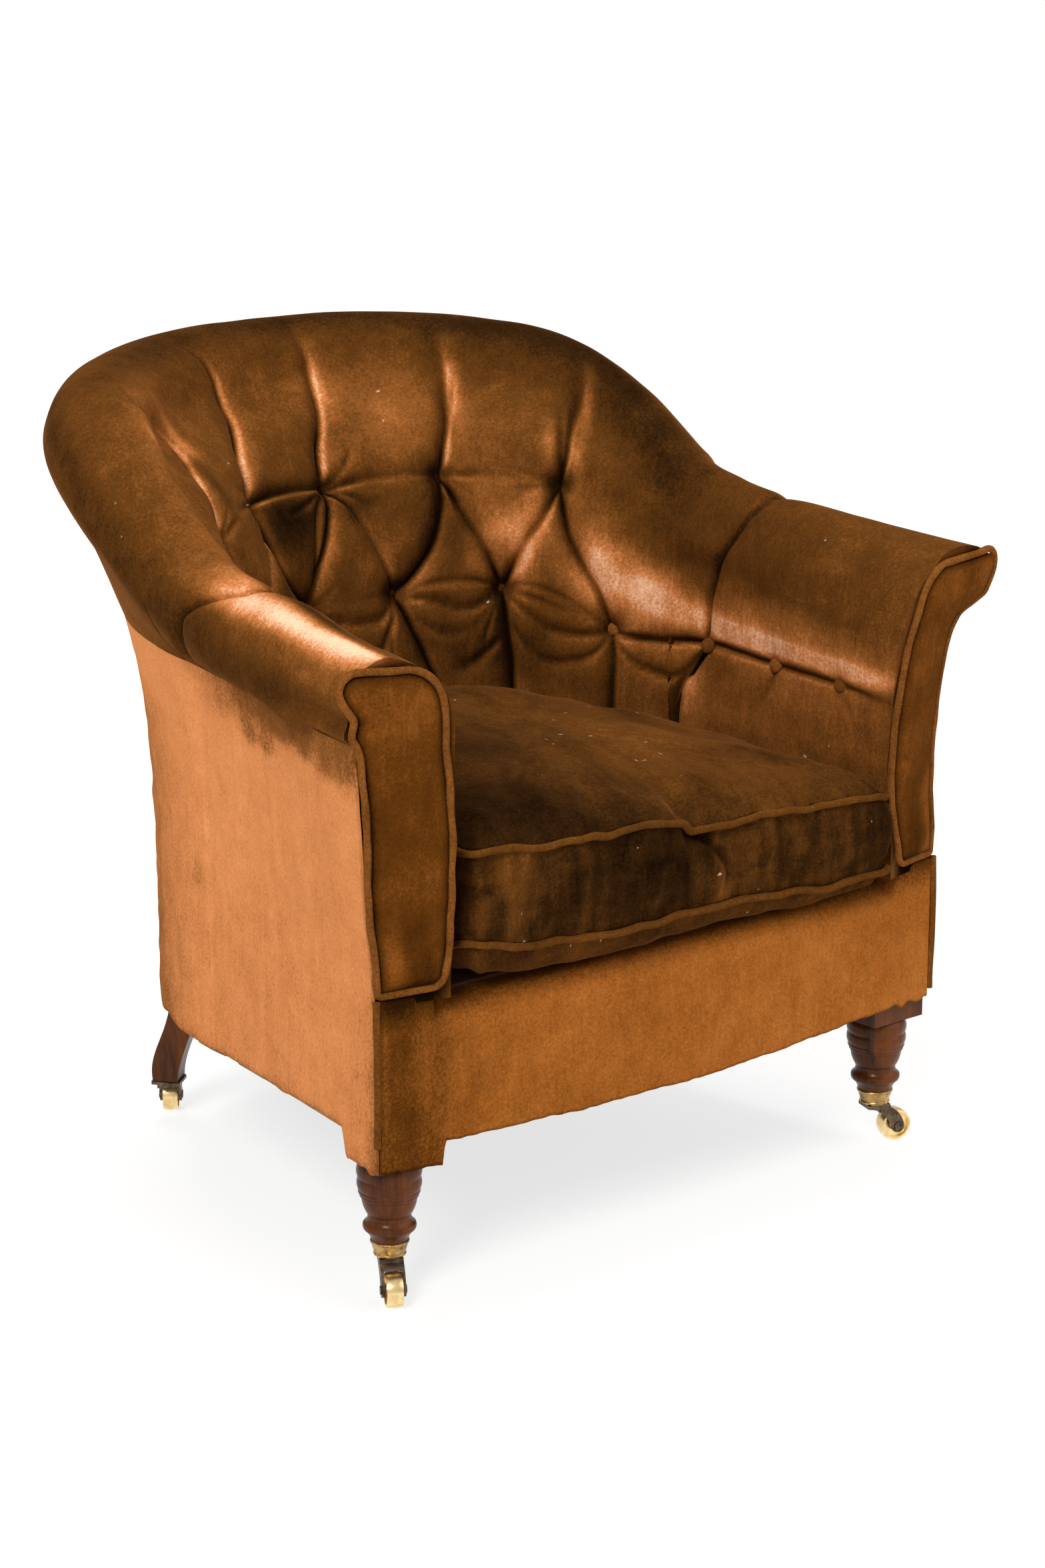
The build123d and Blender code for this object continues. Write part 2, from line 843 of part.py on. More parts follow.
web_inset = 8
web_thickness = 2
web_width = 50
web_pitch = 62
web_lengthwise = 5
cross_web_first = 100
cross_web_pitch = 75
cross_web_count = 6
dust_cloth_top = 155.5
dust_cloth_thickness = 1
leg_room = 2
spring_radius = 36
spring_wire_radius = 2
spring_turns = 5
spring_columns = 3
spring_pitch_x = 130
spring_first_y = 115
spring_pitch_y = 130
canvas_thickness = 1.5
canvas_top = 259.5
deck_front = 25
deck_gap = 1.5
deck_radius = tub_radius + rail_in - deck_gap


def seat_plan(inset):
    """Outline of the seat's underside, notched round the front legs."""
    round_back = tub_radius - inset
    side = block_side(block_back) - inset
    notch = block_inner - leg_room
    turn = block_back + leg_room
    front = rail_face(0) + inset
    with BuildSketch() as plan:
        with BuildLine():
            Polyline(
                (round_back, tub_centre),
                (side, turn),
                (notch, turn),
                (notch, front),
                (-notch, front),
                (-notch, turn),
                (-side, turn),
                (-round_back, tub_centre),
            )
            ThreePointArc((-round_back, tub_centre), (0, tub_centre + round_back),
                          (round_back, tub_centre))
        make_face()
        for side in (-1, 1):
            x, y, z = at(side * leg_place, rear_leg_stations[2][1], rail_foot)
            with Locations((x, y)):
                Circle(leg_block / 2, mode=Mode.SUBTRACT)
    return plan.sketch


web_plan = seat_plan(web_inset)
with BuildPart() as webbing:
    with BuildSketch(Plane.XY.offset(rail_foot - web_thickness)):
        with Locations((0, tub_centre)):
            with GridLocations(web_pitch, 0, web_lengthwise, 1):
                Rectangle(web_width, 2 * tub_centre + tub_radius)
        add(web_plan, mode=Mode.INTERSECT)
    extrude(amount=web_thickness)
    with BuildSketch(Plane.XY.offset(rail_foot - 2 * web_thickness)):
        with Locations(*[(0, cross_web_first + cross_web_pitch * i)
                         for i in range(cross_web_count)]):
            Rectangle(2 * front_half_width, web_width)
        add(web_plan, mode=Mode.INTERSECT)
    extrude(amount=web_thickness)
keep(webbing.part, "seat_webbing")

with BuildPart() as dust_cloth:
    with BuildSketch(Plane.XY.offset(dust_cloth_top - dust_cloth_thickness)):
        add(web_plan)
    extrude(amount=dust_cloth_thickness)
keep(dust_cloth.part, "dust_cloth")

spring_rise = canvas_top - canvas_thickness - rail_foot - 2 * spring_wire_radius - 2 * soft_gap
half_turns = 2 * spring_turns
half_rise = spring_rise / half_turns
with BuildPart() as coil:
    for i in range(half_turns):
        side = 1 if i % 2 == 0 else -1
        turn_plane = Plane(
            origin=(0, 0, half_rise * (i + 0.5)),
            x_dir=(side * 2 * spring_radius, 0, -half_rise),
            z_dir=(side * half_rise, 0, 2 * spring_radius),
        )
        with Locations(turn_plane):
            Torus(math.hypot(spring_radius, half_rise / 2), spring_wire_radius, major_angle=180)
with BuildPart() as springs:
    with Locations((0, spring_first_y + spring_pitch_y,
                    rail_foot + spring_wire_radius + soft_gap)):
        with GridLocations(spring_pitch_x, spring_pitch_y, spring_columns, spring_columns):
            add(coil.part)
keep(springs.part, "seat_springs")


def deck_plan(radius, front):
    """A plan that splays with the sides, with a half-round back."""
    front_half = front_half_width - splay * front + rail_in - deck_gap
    with BuildSketch() as plan:
        with BuildLine():
            Polyline((-radius, tub_centre), (-front_half, front), (front_half, front),
                     (radius, tub_centre))
            ThreePointArc((radius, tub_centre), (0, tub_centre + radius), (-radius, tub_centre))
        make_face()
    return plan.sketch


def deck_layer(foot, top, front):
    with BuildPart() as layer:
        with BuildSketch(Plane.XY.offset(foot)):
            add(deck_plan(deck_radius, front))
        extrude(amount=top - foot)
    return layer.part


keep(deck_layer(canvas_top - canvas_thickness, canvas_top, front_rail_back), "spring_canvas")
keep(deck_layer(deck_foot, deck_top, deck_front), "seat_deck")

# Loose cushion: crowned panels joined to a border by piped seams, its top leaning to one side

cushion_shoulder_radius = 60
cushion_side_gap = 4
cushion_back_gap = 7.5
cushion_half_width = tub_radius - pad_depth * along(foot_shares, seam_place) - cushion_side_gap
cushion_front = -29
cushion_back = tub_centre + tub_radius - pad_depth - cushion_back_gap
cushion_side_end = tub_centre - cushion_shoulder_radius
cushion_front_radius = 16
cushion_top_level = 405
cushion_seam_inset = 3.8
cushion_lean_degrees = 4.5
cushion_seam_lean_degrees = 2.2
cushion_foot_lean_degrees = 0
cushion_foot_level = deck_top + soft_gap
cushion_under = ((0, 75), (5, 32), (14, 10))
cushion_border = ((12, 0.5), (40, -1.5), (67, 0))
cushion_crown = ((10, 12), (25, 45), (37, 95), (44, 150))


def cushion_lean(level):
    """Lean of a level through the cushion, which grows from its foot to its upper seam."""
    if level < cushion_seam_level:
        low, high = cushion_foot_level, cushion_seam_level
        start, end = cushion_foot_lean_degrees, cushion_seam_lean_degrees
    else:
        low, high = cushion_seam_level, cushion_top_level
        start, end = cushion_seam_lean_degrees, cushion_lean_degrees
    share = min((level - low) / (high - low), 1)
    return start + share * (end - start)


def cushion_plane(level):
    lean = math.radians(cushion_lean(level))
    return Plane(origin=(0, 0, level), x_dir=(math.cos(lean), 0, -math.sin(lean)),
                 z_dir=(math.sin(lean), 0, math.cos(lean)))


def cushion_outline(inset):
    """Plan of the cushion: straight sides, then a shoulder and a flatter back each side."""
    half = cushion_half_width - inset
    back = cushion_back - inset
    front = cushion_front + inset
    shoulder = max(cushion_shoulder_radius - inset, piping_radius)
    depth = back - cushion_side_end
    wide = ((half - shoulder) ** 2 + depth**2 - shoulder**2) / (2 * depth - 2 * shoulder)
    middle_y = back - wide
    turn = math.atan2(cushion_side_end - middle_y, half - shoulder)
    meet_x = wide * math.cos(turn)
    meet_y = middle_y + wide * math.sin(turn)
    half_turn = turn / 2
    side_x = half - shoulder + shoulder * math.cos(half_turn)
    side_y = cushion_side_end + shoulder * math.sin(half_turn)
    corner = max(cushion_front_radius - inset * 0.5, piping_radius)
    with BuildSketch() as plan:
        with BuildLine():
            ThreePointArc((half, cushion_side_end), (side_x, side_y), (meet_x, meet_y))
            ThreePointArc((meet_x, meet_y), (0, back), (-meet_x, meet_y))
            ThreePointArc((-meet_x, meet_y), (-side_x, side_y), (-half, cushion_side_end))
            Polyline((-half, cushion_side_end), (-half, front), (half, front),
                     (half, cushion_side_end))
        make_face()
        fillet(plan.vertices().sort_by(Axis.Y)[:2], corner)
    return plan.sketch


def cushion_loft(sections):
    with BuildPart() as body:
        for level, inset in sections:
            with BuildSketch(cushion_plane(level)):
                add(cushion_outline(inset))
        loft()
    return body.part


lower_seam = cushion_seam_level, cushion_seam_inset
upper_seam = cushion_top_level, cushion_seam_inset
with BuildPart() as cushion:
    add(cushion_loft([(cushion_foot_level + rise, inset) for rise, inset in cushion_under]
                     + [lower_seam]))
    add(cushion_loft([lower_seam]
                     + [(cushion_seam_level + rise, inset) for rise, inset in cushion_border]
                     + [upper_seam]))
    add(cushion_loft([upper_seam]
                     + [(cushion_top_level + rise, inset) for rise, inset in cushion_crown]))
keep(cushion.part, "seat_cushion")

cushion_cord = piping(cushion_outline(0).face().outer_wire())
keep(Compound([cushion_plane(level).location * cushion_cord
               for level in (cushion_seam_level, cushion_top_level)]), "cushion_piping")

# Castors: a cup or a plate on the leg, a horn that swivels in it, and a wheel on an axle

cup_top = 57.4
cup_foot = 42
cup_top_radius = 17
cup_foot_radius = 13.5
cup_wall_gap = 0.2
cup_ring_proud = 1.2
cup_ring_height = 3.2
cup_bead_proud = 1.7
cup_bead_set = 1
cup_bead_level = 2
cup_bead_height = 3.5
plate_foot = 38.5
plate_top = 41.5
plate_side = 30
plate_corner = 3
spigot_radius = 4
spigot_fit = 0.05
spigot_head_radius = 6
spigot_head_height = 2
head_clearance = 0.2
crown_clearance = 0.3
crown_radius = 12
crown_thickness = 3.7
trail = 22
wheel_radius = 16.3
wheel_width = 15
wheel_slot_width = 16.2
wheel_slot_radius = 17.8
horn_width = 22.2
horn_flare = 1
horn_shoulder = 11
horn_hollow = 8
horn_bow_rise = 13
boss_radius = 7
axle_radius = 2.5
axle_fit = 0.05
wheel_fit = 0.1
axle_head_radius = 4.2
axle_head_thickness = 1
tread_crown = 0.8
hub_radius = 5.5
rim_width = 3
web_recess = 3

with BuildPart() as cup:
    with BuildSketch(Plane(origin=(leg_axis_x, leg_axis_y, 0), x_dir=(1, 0, 0), z_dir=(0, -1, 0))):
        with BuildLine():
            rim = Line((peg_top_radius + cup_wall_gap, cup_top), (cup_top_radius, cup_top))
            ring = ThreePointArc(rim @ 1,
                                 (cup_top_radius + cup_ring_proud, cup_top - cup_ring_height / 2),
                                 (cup_top_radius, cup_top - cup_ring_height))
            body = Line(ring @ 1, (cup_foot_radius + cup_bead_set, cup_foot + cup_bead_height))
            bead = ThreePointArc(body @ 1,
                                 (cup_foot_radius + cup_bead_proud, cup_foot + cup_bead_level),
                                 (cup_foot_radius, cup_foot))
            Polyline(bead @ 1, (0, cup_foot), (0, cup_floor - cup_wall_gap),
                     (peg_radius + cup_wall_gap, cup_floor - cup_wall_gap), rim @ 0)
        make_face()
    revolve(axis=Axis((leg_axis_x, leg_axis_y, 0), (0, 0, 1)))
    with Locations((leg_axis_x, leg_axis_y, cup_foot)):
        Cylinder(spigot_radius + spigot_fit, cup_floor, mode=Mode.SUBTRACT)
keep(cup.part, "castor_cup_front_right")
keep(mirrored(cup.part), "castor_cup_front_left")

rear_x, rear_y, rear_z = at(leg_place, rear_leg_stations[0][1], plate_foot)
with BuildPart() as plate:
    with BuildSketch(Plane(origin=(rear_x, rear_y, plate_foot),
                           x_dir=(math.cos(leg_turn), math.sin(leg_turn), 0), z_dir=(0, 0, 1))):
        RectangleRounded(plate_side, plate_side, plate_corner)
        Circle(spigot_radius + spigot_fit, mode=Mode.SUBTRACT)
    extrude(amount=plate_top - plate_foot)
keep(plate.part, "castor_plate_rear_right")
keep(mirrored(plate.part), "castor_plate_rear_left")


def castor(axis_x, axis_y, bearing_foot, bearing_top, heading, corner):
    """Horn, axle and wheel of one castor, whose wheel trails along its heading."""
    length = math.hypot(*heading)
    run = heading[0] / length, heading[1] / length
    across = -run[1], run[0]
    crown_top = bearing_foot - crown_clearance
    crown_foot = crown_top - crown_thickness
    upright = Plane(origin=(axis_x, axis_y, 0), x_dir=(run[0], run[1], 0),
                    z_dir=(run[1], -run[0], 0))
    axle_line = Plane(origin=(axis_x + run[0] * trail, axis_y + run[1] * trail, wheel_radius),
                      x_dir=(0, 0, 1), z_dir=(across[0], across[1], 0))
    neck_out = trail + boss_radius
    neck_in = trail - boss_radius
    with BuildPart() as horn:
        with BuildSketch(upright):
            with BuildLine():
                Polyline((-crown_radius, crown_foot), (-crown_radius, crown_top),
                         (crown_radius, crown_top), (crown_radius + horn_flare, crown_foot))
                ThreePointArc((crown_radius + horn_flare, crown_foot),
                              (crown_radius + horn_shoulder, wheel_radius + horn_bow_rise),
                              (neck_out, wheel_radius))
                ThreePointArc((neck_out, wheel_radius), (trail, wheel_radius - boss_radius),
                              (neck_in, wheel_radius))
                ThreePointArc((neck_in, wheel_radius),
                              (neck_in - horn_hollow, wheel_radius + horn_bow_rise),
                              (-crown_radius, crown_foot))
            make_face()
        extrude(amount=horn_width / 2, both=True)
        with BuildSketch(axle_line):
            Circle(wheel_slot_radius)
        extrude(amount=wheel_slot_width / 2, both=True, mode=Mode.SUBTRACT)
        with BuildSketch(axle_line):
            Circle(axle_radius + axle_fit)
        extrude(amount=horn_width, both=True, mode=Mode.SUBTRACT)
        with BuildSketch(Plane((axis_x, axis_y, crown_foot + crown_thickness / 2))):
            Circle(spigot_radius)
        extrude(amount=bearing_top + head_clearance + spigot_head_height / 2
                - crown_foot - crown_thickness / 2)
        with BuildSketch(Plane((axis_x, axis_y, bearing_top + head_clearance))):
            Circle(spigot_head_radius)
        extrude(amount=spigot_head_height)
    keep(horn.part, f"castor_horn_{corner}")
    with BuildPart() as axle:
        with BuildSketch(axle_line):
            Circle(axle_radius)
        extrude(amount=horn_width / 2 + axle_fit, both=True)
        for side in (-1, 1):
            with BuildSketch(axle_line.offset(side * (horn_width / 2 + axle_fit))):
                Circle(axle_head_radius)
            extrude(amount=side * axle_head_thickness)
    keep(axle.part, f"castor_axle_{corner}")
    half = wheel_width / 2
    rim = wheel_radius - rim_width
    bore = axle_radius + wheel_fit
    with BuildPart() as wheel:
        with BuildSketch(Plane(origin=axle_line.origin, x_dir=(across[0], across[1], 0),
                               z_dir=(run[0], run[1], 0))):
            with BuildLine():
                ThreePointArc((-half, wheel_radius - tread_crown), (0, wheel_radius),
                              (half, wheel_radius - tread_crown))
                Polyline(
                    (half, wheel_radius - tread_crown), (half, rim), (half - web_recess, rim),
                    (half - web_recess, hub_radius), (half, hub_radius), (half, bore),
                    (-half, bore), (-half, hub_radius), (-half + web_recess, hub_radius),
                    (-half + web_recess, rim), (-half, rim), (-half, wheel_radius - tread_crown),
                )
            make_face()
        revolve(axis=Axis(axle_line.origin, (across[0], across[1], 0)))
    keep(wheel.part, f"castor_wheel_{corner}")


castor(leg_axis_x, leg_axis_y, cup_foot, cup_floor - cup_wall_gap, (0.95, -0.3), "front_right")
castor(-leg_axis_x, leg_axis_y, cup_foot, cup_floor - cup_wall_gap, (-0.5, -0.85), "front_left")
castor(rear_x, rear_y, plate_foot, plate_top, (0.47, 0.88), "rear_right")
castor(-rear_x, rear_y, plate_foot, plate_top, (0.64, 0.77), "rear_left")
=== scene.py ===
import math

import bmesh
import bpy
import numpy as np
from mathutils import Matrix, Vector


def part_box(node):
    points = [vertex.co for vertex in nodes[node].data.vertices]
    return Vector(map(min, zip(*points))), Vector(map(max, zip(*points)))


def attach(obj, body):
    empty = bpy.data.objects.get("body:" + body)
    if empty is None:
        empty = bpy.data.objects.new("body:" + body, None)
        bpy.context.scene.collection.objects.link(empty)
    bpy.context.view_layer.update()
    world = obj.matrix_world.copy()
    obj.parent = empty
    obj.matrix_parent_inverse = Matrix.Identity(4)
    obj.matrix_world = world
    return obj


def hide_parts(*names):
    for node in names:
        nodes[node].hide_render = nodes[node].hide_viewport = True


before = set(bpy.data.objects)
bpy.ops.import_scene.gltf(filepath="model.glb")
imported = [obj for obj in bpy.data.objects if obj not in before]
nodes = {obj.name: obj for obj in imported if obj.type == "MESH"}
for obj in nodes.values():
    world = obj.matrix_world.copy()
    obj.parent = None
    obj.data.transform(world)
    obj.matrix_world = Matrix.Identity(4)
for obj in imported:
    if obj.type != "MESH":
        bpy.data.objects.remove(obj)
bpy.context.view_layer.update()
print("frame loaded:", len(nodes), "nodes")

# Mesh helpers


farAway = 9.  # beyond any point of the chair, in metres


def smoothStep(low, high, value):
    t = np.clip((value - low) / (high - low), 0, 1)
    return t * t * (3 - 2 * t)


def hump(value, centre, reach):
    return np.exp(-((value - centre) / reach)**2)


def unit(vectors):
    return vectors / np.maximum(np.linalg.norm(vectors, axis=-1, keepdims=True), 1e-9)


def ripple(points, size, seed, waves=12):
    # smooth unevenness about as long as size, from a few seeded waves, mostly within -1..1
    random = np.random.default_rng(seed)
    total = np.zeros(points.shape[:-1])
    for _ in range(waves):
        direction = unit(random.normal(size=3)) * 2 * math.pi / size * random.uniform(.6, 1.5)
        total += np.sin(points @ direction + random.uniform(0, 2 * math.pi))
    return total / math.sqrt(waves)


def cubicWeights(t):
    # the shares of start, start slope, end and end slope in a smooth curve at t from 0 to 1
    return 2 * t**3 - 3 * t**2 + 1, t**3 - 2 * t**2 + t, 3 * t**2 - 2 * t**3, t**3 - t**2


def gridFaces(rows, columns, closeRows=False, closeColumns=False, start=0):
    r, c = np.meshgrid(np.arange(rows if closeRows else rows - 1),
                       np.arange(columns if closeColumns else columns - 1), indexing="ij")
    nextR, nextC = (r + 1) % rows, (c + 1) % columns
    quads = np.stack([r * columns + c, r * columns + nextC,
                      nextR * columns + nextC, nextR * columns + c], -1)
    return (quads.reshape(-1, 4) + start).tolist()


def endFaces(rows, columns):
    # closes both ends of a tube whose rows run round it
    edge = np.arange(rows) * columns
    return [edge[::-1].tolist(), (edge + columns - 1).tolist()]


def capFaces(rows, columns):
    # closes the first and the last ring of a tube whose columns run round it
    last = (rows - 1) * columns
    return [list(range(columns))[::-1], list(range(last, last + columns))]


def gridNormals(points):
    return unit(np.cross(np.gradient(points, axis=1), np.gradient(points, axis=0)))


def meshPiece(name, points, faces, material, marks=None, crisp=None):
    # marks are one value per point, read by the materials; crisp is the angle kept as an edge
    mesh = bpy.data.meshes.new(name)
    mesh.from_pydata(np.asarray(points, float).reshape(-1, 3).tolist(), [], faces)
    for mark, values in (marks or {}).items():
        layer = mesh.attributes.new(mark, "FLOAT", "POINT")
        layer.data.foreach_set("value", np.asarray(values, np.float32).ravel())
    mesh.polygons.foreach_set("use_smooth", [True] * len(mesh.polygons))
    if crisp:
        mesh.set_sharp_from_angle(angle=math.radians(crisp))
    mesh.materials.append(material)
    mesh.validate()
    mesh.update()
    piece = bpy.data.objects.new(name, mesh)
    bpy.context.scene.collection.objects.link(piece)
    return piece


def cordPiece(name, path, radius, material, closed=False, sides=10, napAndShading=.5):
    # a round piping cord along a dense path; radius may be one value or one per point
    path = np.asarray(path, float)
    ahead = np.roll(path, -1, 0) - np.roll(path, 1, 0)
    if not closed:
        ahead[0], ahead[-1] = path[1] - path[0], path[-1] - path[-2]
    ahead = unit(ahead)
    across = unit(np.cross(ahead, (.31, .17, .93)))
    for i in range(1, len(path)):  # carries the first direction along, so the cord doesn't twist
        across[i] = unit(across[i - 1] - ahead[i] * (across[i - 1] @ ahead[i]))
    lift = np.cross(ahead, across)
    turn = np.linspace(0, 2 * math.pi, sides, endpoint=False)[None, :, None]
    size = np.broadcast_to(np.asarray(radius, float), (len(path),))[:, None, None]
    ring = path[:, None] + size * (np.cos(turn) * across[:, None] + np.sin(turn) * lift[:, None])
    faces = gridFaces(len(path), sides, closeRows=closed, closeColumns=True)
    if not closed:
        faces += capFaces(len(path), sides)
    return meshPiece(name, ring, faces, material, {"napAndShading": np.full(ring.shape[:2], napAndShading),
                                                   "foldShade": np.zeros(ring.shape[:2])})


def fitted(piece, body, node):
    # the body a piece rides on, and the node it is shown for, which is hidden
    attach(piece, body)
    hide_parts(node)


# Material helpers


def newMaterial(name):
    material = bpy.data.materials.new(name)
    material.use_nodes = True
    material.node_tree.nodes.clear()
    return material, material.node_tree


def add(tree, kind, sockets=None, **settings):
    node = tree.nodes.new("ShaderNode" + kind)
    for key, value in settings.items():
        setattr(node, key, value)
    for key, value in (sockets or {}).items():
        if isinstance(value, bpy.types.NodeSocket):
            tree.links.new(value, node.inputs[key])
        else:
            node.inputs[key].default_value = value
    return node


def compute(tree, operation, *values):
    node = tree.nodes.new("ShaderNodeMath")
    node.operation = operation
    for i, value in enumerate(values):
        if isinstance(value, bpy.types.NodeSocket):
            tree.links.new(value, node.inputs[i])
        else:
            node.inputs[i].default_value = value
    return node.outputs[0]


def placeOf(tree, stretch=(1, 1, 1), turn=(0, 0, 0)):
    where = add(tree, "TexCoord").outputs["Object"]
    return add(tree, "Mapping", {"Vector": where, "Scale": stretch,
                                           "Rotation": turn}).outputs[0]


def noiseOf(tree, place, scale, detail=3, rough=.5, twist=0):
    return add(tree, "TexNoise", {"Vector": place, "Scale": scale, "Detail": detail,
                                            "Roughness": rough, "Distortion": twist}).outputs[0]


def rampOf(tree, value, stops):
    ramp = add(tree, "ValToRGB", {"Fac": value})
    bar = ramp.color_ramp
    while len(bar.elements) < len(stops):
        bar.elements.new(1)
    for element, (spot, colour) in zip(bar.elements, stops):
        element.position = spot
        element.color = (*colour, 1)
    return ramp.outputs[0]


def mixOf(tree, share, first, second):
    node = add(tree, "Mix", data_type="RGBA", blend_type="MIX")
    for index, value in ((0, share), (6, first), (7, second)):
        if isinstance(value, bpy.types.NodeSocket):
            tree.links.new(value, node.inputs[index])
        else:
            node.inputs[index].default_value = (*value, 1) if index else value
    return node.outputs[2]


def finished(tree, shader):
    add(tree, "OutputMaterial", {"Surface": shader.outputs[0]})


def directRays(tree, mirrored=None):
    # 1 for what the camera sees directly or through glass, 0 for scattered light, and a given
    # share, or else 1, for what a glossy surface mirrors
    rays = add(tree, "LightPath").outputs
    glossy = rays["Is Glossy Ray"]
    if mirrored is not None:
        glossy = compute(tree, "MULTIPLY", glossy, mirrored)
    return compute(tree, "MAXIMUM", rays["Is Camera Ray"],
                   compute(tree, "MAXIMUM", glossy, rays["Is Transmission Ray"]))


# Velvet

velvetLook = {
    "sheen": .18, "sheenSpread": .3, "sheenTint": (1, .4, .12), "gloss": .008, "rough": .95,
    "patch": .26, "cloud": .24, "streak": .16, "grain": .5, "foldShade": .55,
}
flatLook = dict(velvetLook, patch=.16, cloud=.24, streak=.12, grain=.6)
# one velvet in three tone ramps over its own brown: the outside ramp's lighter tones and the inside
# ramp's darker ones are painted light and shade for how the light falls on each part, and the inside
# ramp's peach top stop is the colour of painted highlights
velvetBrown = ((0, (.008, .003, .0009)), (.2, (.036, .0138, .0032)), (.45, (.128, .045, .008)),
               (.62, (.275, .093, .02)), (.8, (.6, .21, .066)), (1, (1, .62, .4)))
velvetOutside = ((0, (.05, .019, .0035)), (.3, (.24, .085, .02)), (.5, (.62, .225, .074)),
                 (.7, (.8, .315, .115)), (1, (.94, .46, .2)))
velvetBorder = ((0, (.025, .0085, .0015)), (.25, (.115, .036, .0045)), (.5, (.34, .106, .017)),
                (.7, (.5, .176, .038)), (1, (.72, .31, .09)))


def velvet(name, stops, specks=0, streakTurn=(0, 0, 0), look=velvetLook, shift=0):
    # crushed pile: light and dark follow the brushed nap together with painted highlights and painted
    # shade carried in the same tone mark, in patches, clouds, streaks and grain; a second mark adds
    # painted shade in creases, seams and hems
    material, tree = newMaterial(name)
    still = placeOf(tree)
    run = placeOf(tree, (1, 1, .12), streakTurn)
    napAndShading = add(tree, "Attribute", attribute_name="napAndShading").outputs["Fac"]
    foldShade = add(tree, "Attribute", attribute_name="foldShade").outputs["Fac"]
    tone = compute(tree, "ADD", napAndShading, shift)
    layers = ((noiseOf(tree, still, 7, 3, .55, .6), look["patch"]),
              (noiseOf(tree, still, 34, 4, .6, .3), look["cloud"]),
              (noiseOf(tree, run, 190, 3, .6), look["streak"]),
              (noiseOf(tree, still, 380, 4, .75), look["grain"]))
    for layer, gain in layers:
        tone = compute(tree, "MULTIPLY_ADD", compute(tree, "SUBTRACT", layer, .5), gain, tone)
    # painted shade in creases, seams and hems darkens the tone
    tone = compute(tree, "MULTIPLY_ADD", foldShade, -look["foldShade"], tone)
    colour = rampOf(tree, tone, stops)
    lintLayers = (((1, .3, .5), (.3, .2, .8), 75, .1), ((.35, 1, .6), (1.1, .4, .2), 60, .1),
                  ((1, 1, 1), (0, 0, 0), 34, .055))
    for stretch, turn, scale, size in lintLayers if specks else ():
        flecks = add(tree, "TexVoronoi", {"Vector": placeOf(tree, stretch, turn),
                                                    "Scale": scale})
        ragged = compute(tree, "MULTIPLY_ADD", noiseOf(tree, still, 700, 2, .6),
                         size * 2, -size * .5)
        fleck = compute(tree, "LESS_THAN", flecks.outputs["Distance"], ragged)
        scatter = noiseOf(tree, placeOf(tree, (1, 1, 1), turn), 19, 2, .5)
        some = compute(tree, "GREATER_THAN", scatter, .66 - .12 * specks)
        colour = mixOf(tree, compute(tree, "MULTIPLY", compute(tree, "MULTIPLY", fleck, some), .7),
                       colour, (.6, .5, .4))
    pile = add(tree, "Bump", {
        "Strength": .35, "Distance": .0006, "Height": noiseOf(tree, still, 1500, 2, .7)})
    crush = add(tree, "Bump", {
        "Strength": .3, "Distance": .003, "Height": noiseOf(tree, still, 60, 3, .6, .5),
        "Normal": pile.outputs[0]})
    shader = add(tree, "BsdfPrincipled", {
        "Base Color": colour, "Roughness": look["rough"], "Specular IOR Level": look["gloss"],
        "Sheen Weight": look["sheen"], "Sheen Roughness": look["sheenSpread"],
        "Sheen Tint": (*look["sheenTint"], 1), "Normal": crush.outputs[0]})
    finished(tree, shader)
    return material


insideVelvet = velvet("insideVelvet", velvetBrown, specks=.3)
cushionVelvet = velvet("cushionVelvet", velvetBrown, specks=1, streakTurn=(1.45, 0, .5), shift=-.05)
outsideVelvet = velvet("outsideVelvet", velvetOutside, look=flatLook)
borderVelvet = velvet("borderVelvet", velvetBorder, look=flatLook)
facingVelvet = velvet("facingVelvet", velvetBorder, look=dict(flatLook, grain=.36), shift=-.25)
pipingVelvet = velvet("pipingVelvet", velvetBrown, shift=.1)
buttonVelvet = velvet("buttonVelvet", velvetBrown)
print("velvets made")

# Wood, metal, cloth and canvas finishes

finishes = {
    "polish": {"dark": (.024, .0062, .001), "light": (.15, .04, .005), "rough": .32, "coat": .2},
    "beech": {"dark": (.22, .11, .045), "light": (.46, .28, .14), "rough": .6, "coat": 0},
}


def woodFinish(name, look, grain=(1, 1, .12)):
    material, tree = newMaterial(name)
    run = placeOf(tree, grain)
    broad = noiseOf(tree, run, 26, 4, .6, 1.4)
    fine = noiseOf(tree, run, 260, 3, .6)
    tone = compute(tree, "MULTIPLY_ADD", compute(tree, "SUBTRACT", fine, .5), .35, broad)
    wear = noiseOf(tree, placeOf(tree), 60, 3, .6)
    colour = rampOf(tree, tone, ((.28, look["dark"]), (.72, look["light"])))
    rough = compute(tree, "MULTIPLY_ADD", wear, .25, look["rough"] - .08)
    bump = add(tree, "Bump", {"Strength": .12, "Distance": .0006, "Height": fine})
    shader = add(tree, "BsdfPrincipled", {
        "Base Color": colour, "Roughness": rough, "Specular IOR Level": .08,
        "Coat Weight": look["coat"], "Coat Roughness": .2, "Normal": bump.outputs[0]})
    finished(tree, shader)
    return material


def metalFinish(name, bright, dull, rough):
    material, tree = newMaterial(name)
    still = placeOf(tree)
    tarnish = noiseOf(tree, still, 90, 5, .65, .8)
    colour = rampOf(tree, tarnish, ((.38, dull), (.6, bright)))
    bump = add(tree, "Bump", {"Strength": .2, "Distance": .0004,
                                        "Height": noiseOf(tree, still, 420, 3, .6)})
    shader = add(tree, "BsdfPrincipled", {
        "Base Color": colour, "Metallic": 1,
        "Roughness": compute(tree, "MULTIPLY_ADD", tarnish, -.25, rough + .15),
        "Normal": bump.outputs[0]})
    finished(tree, shader)
    return material


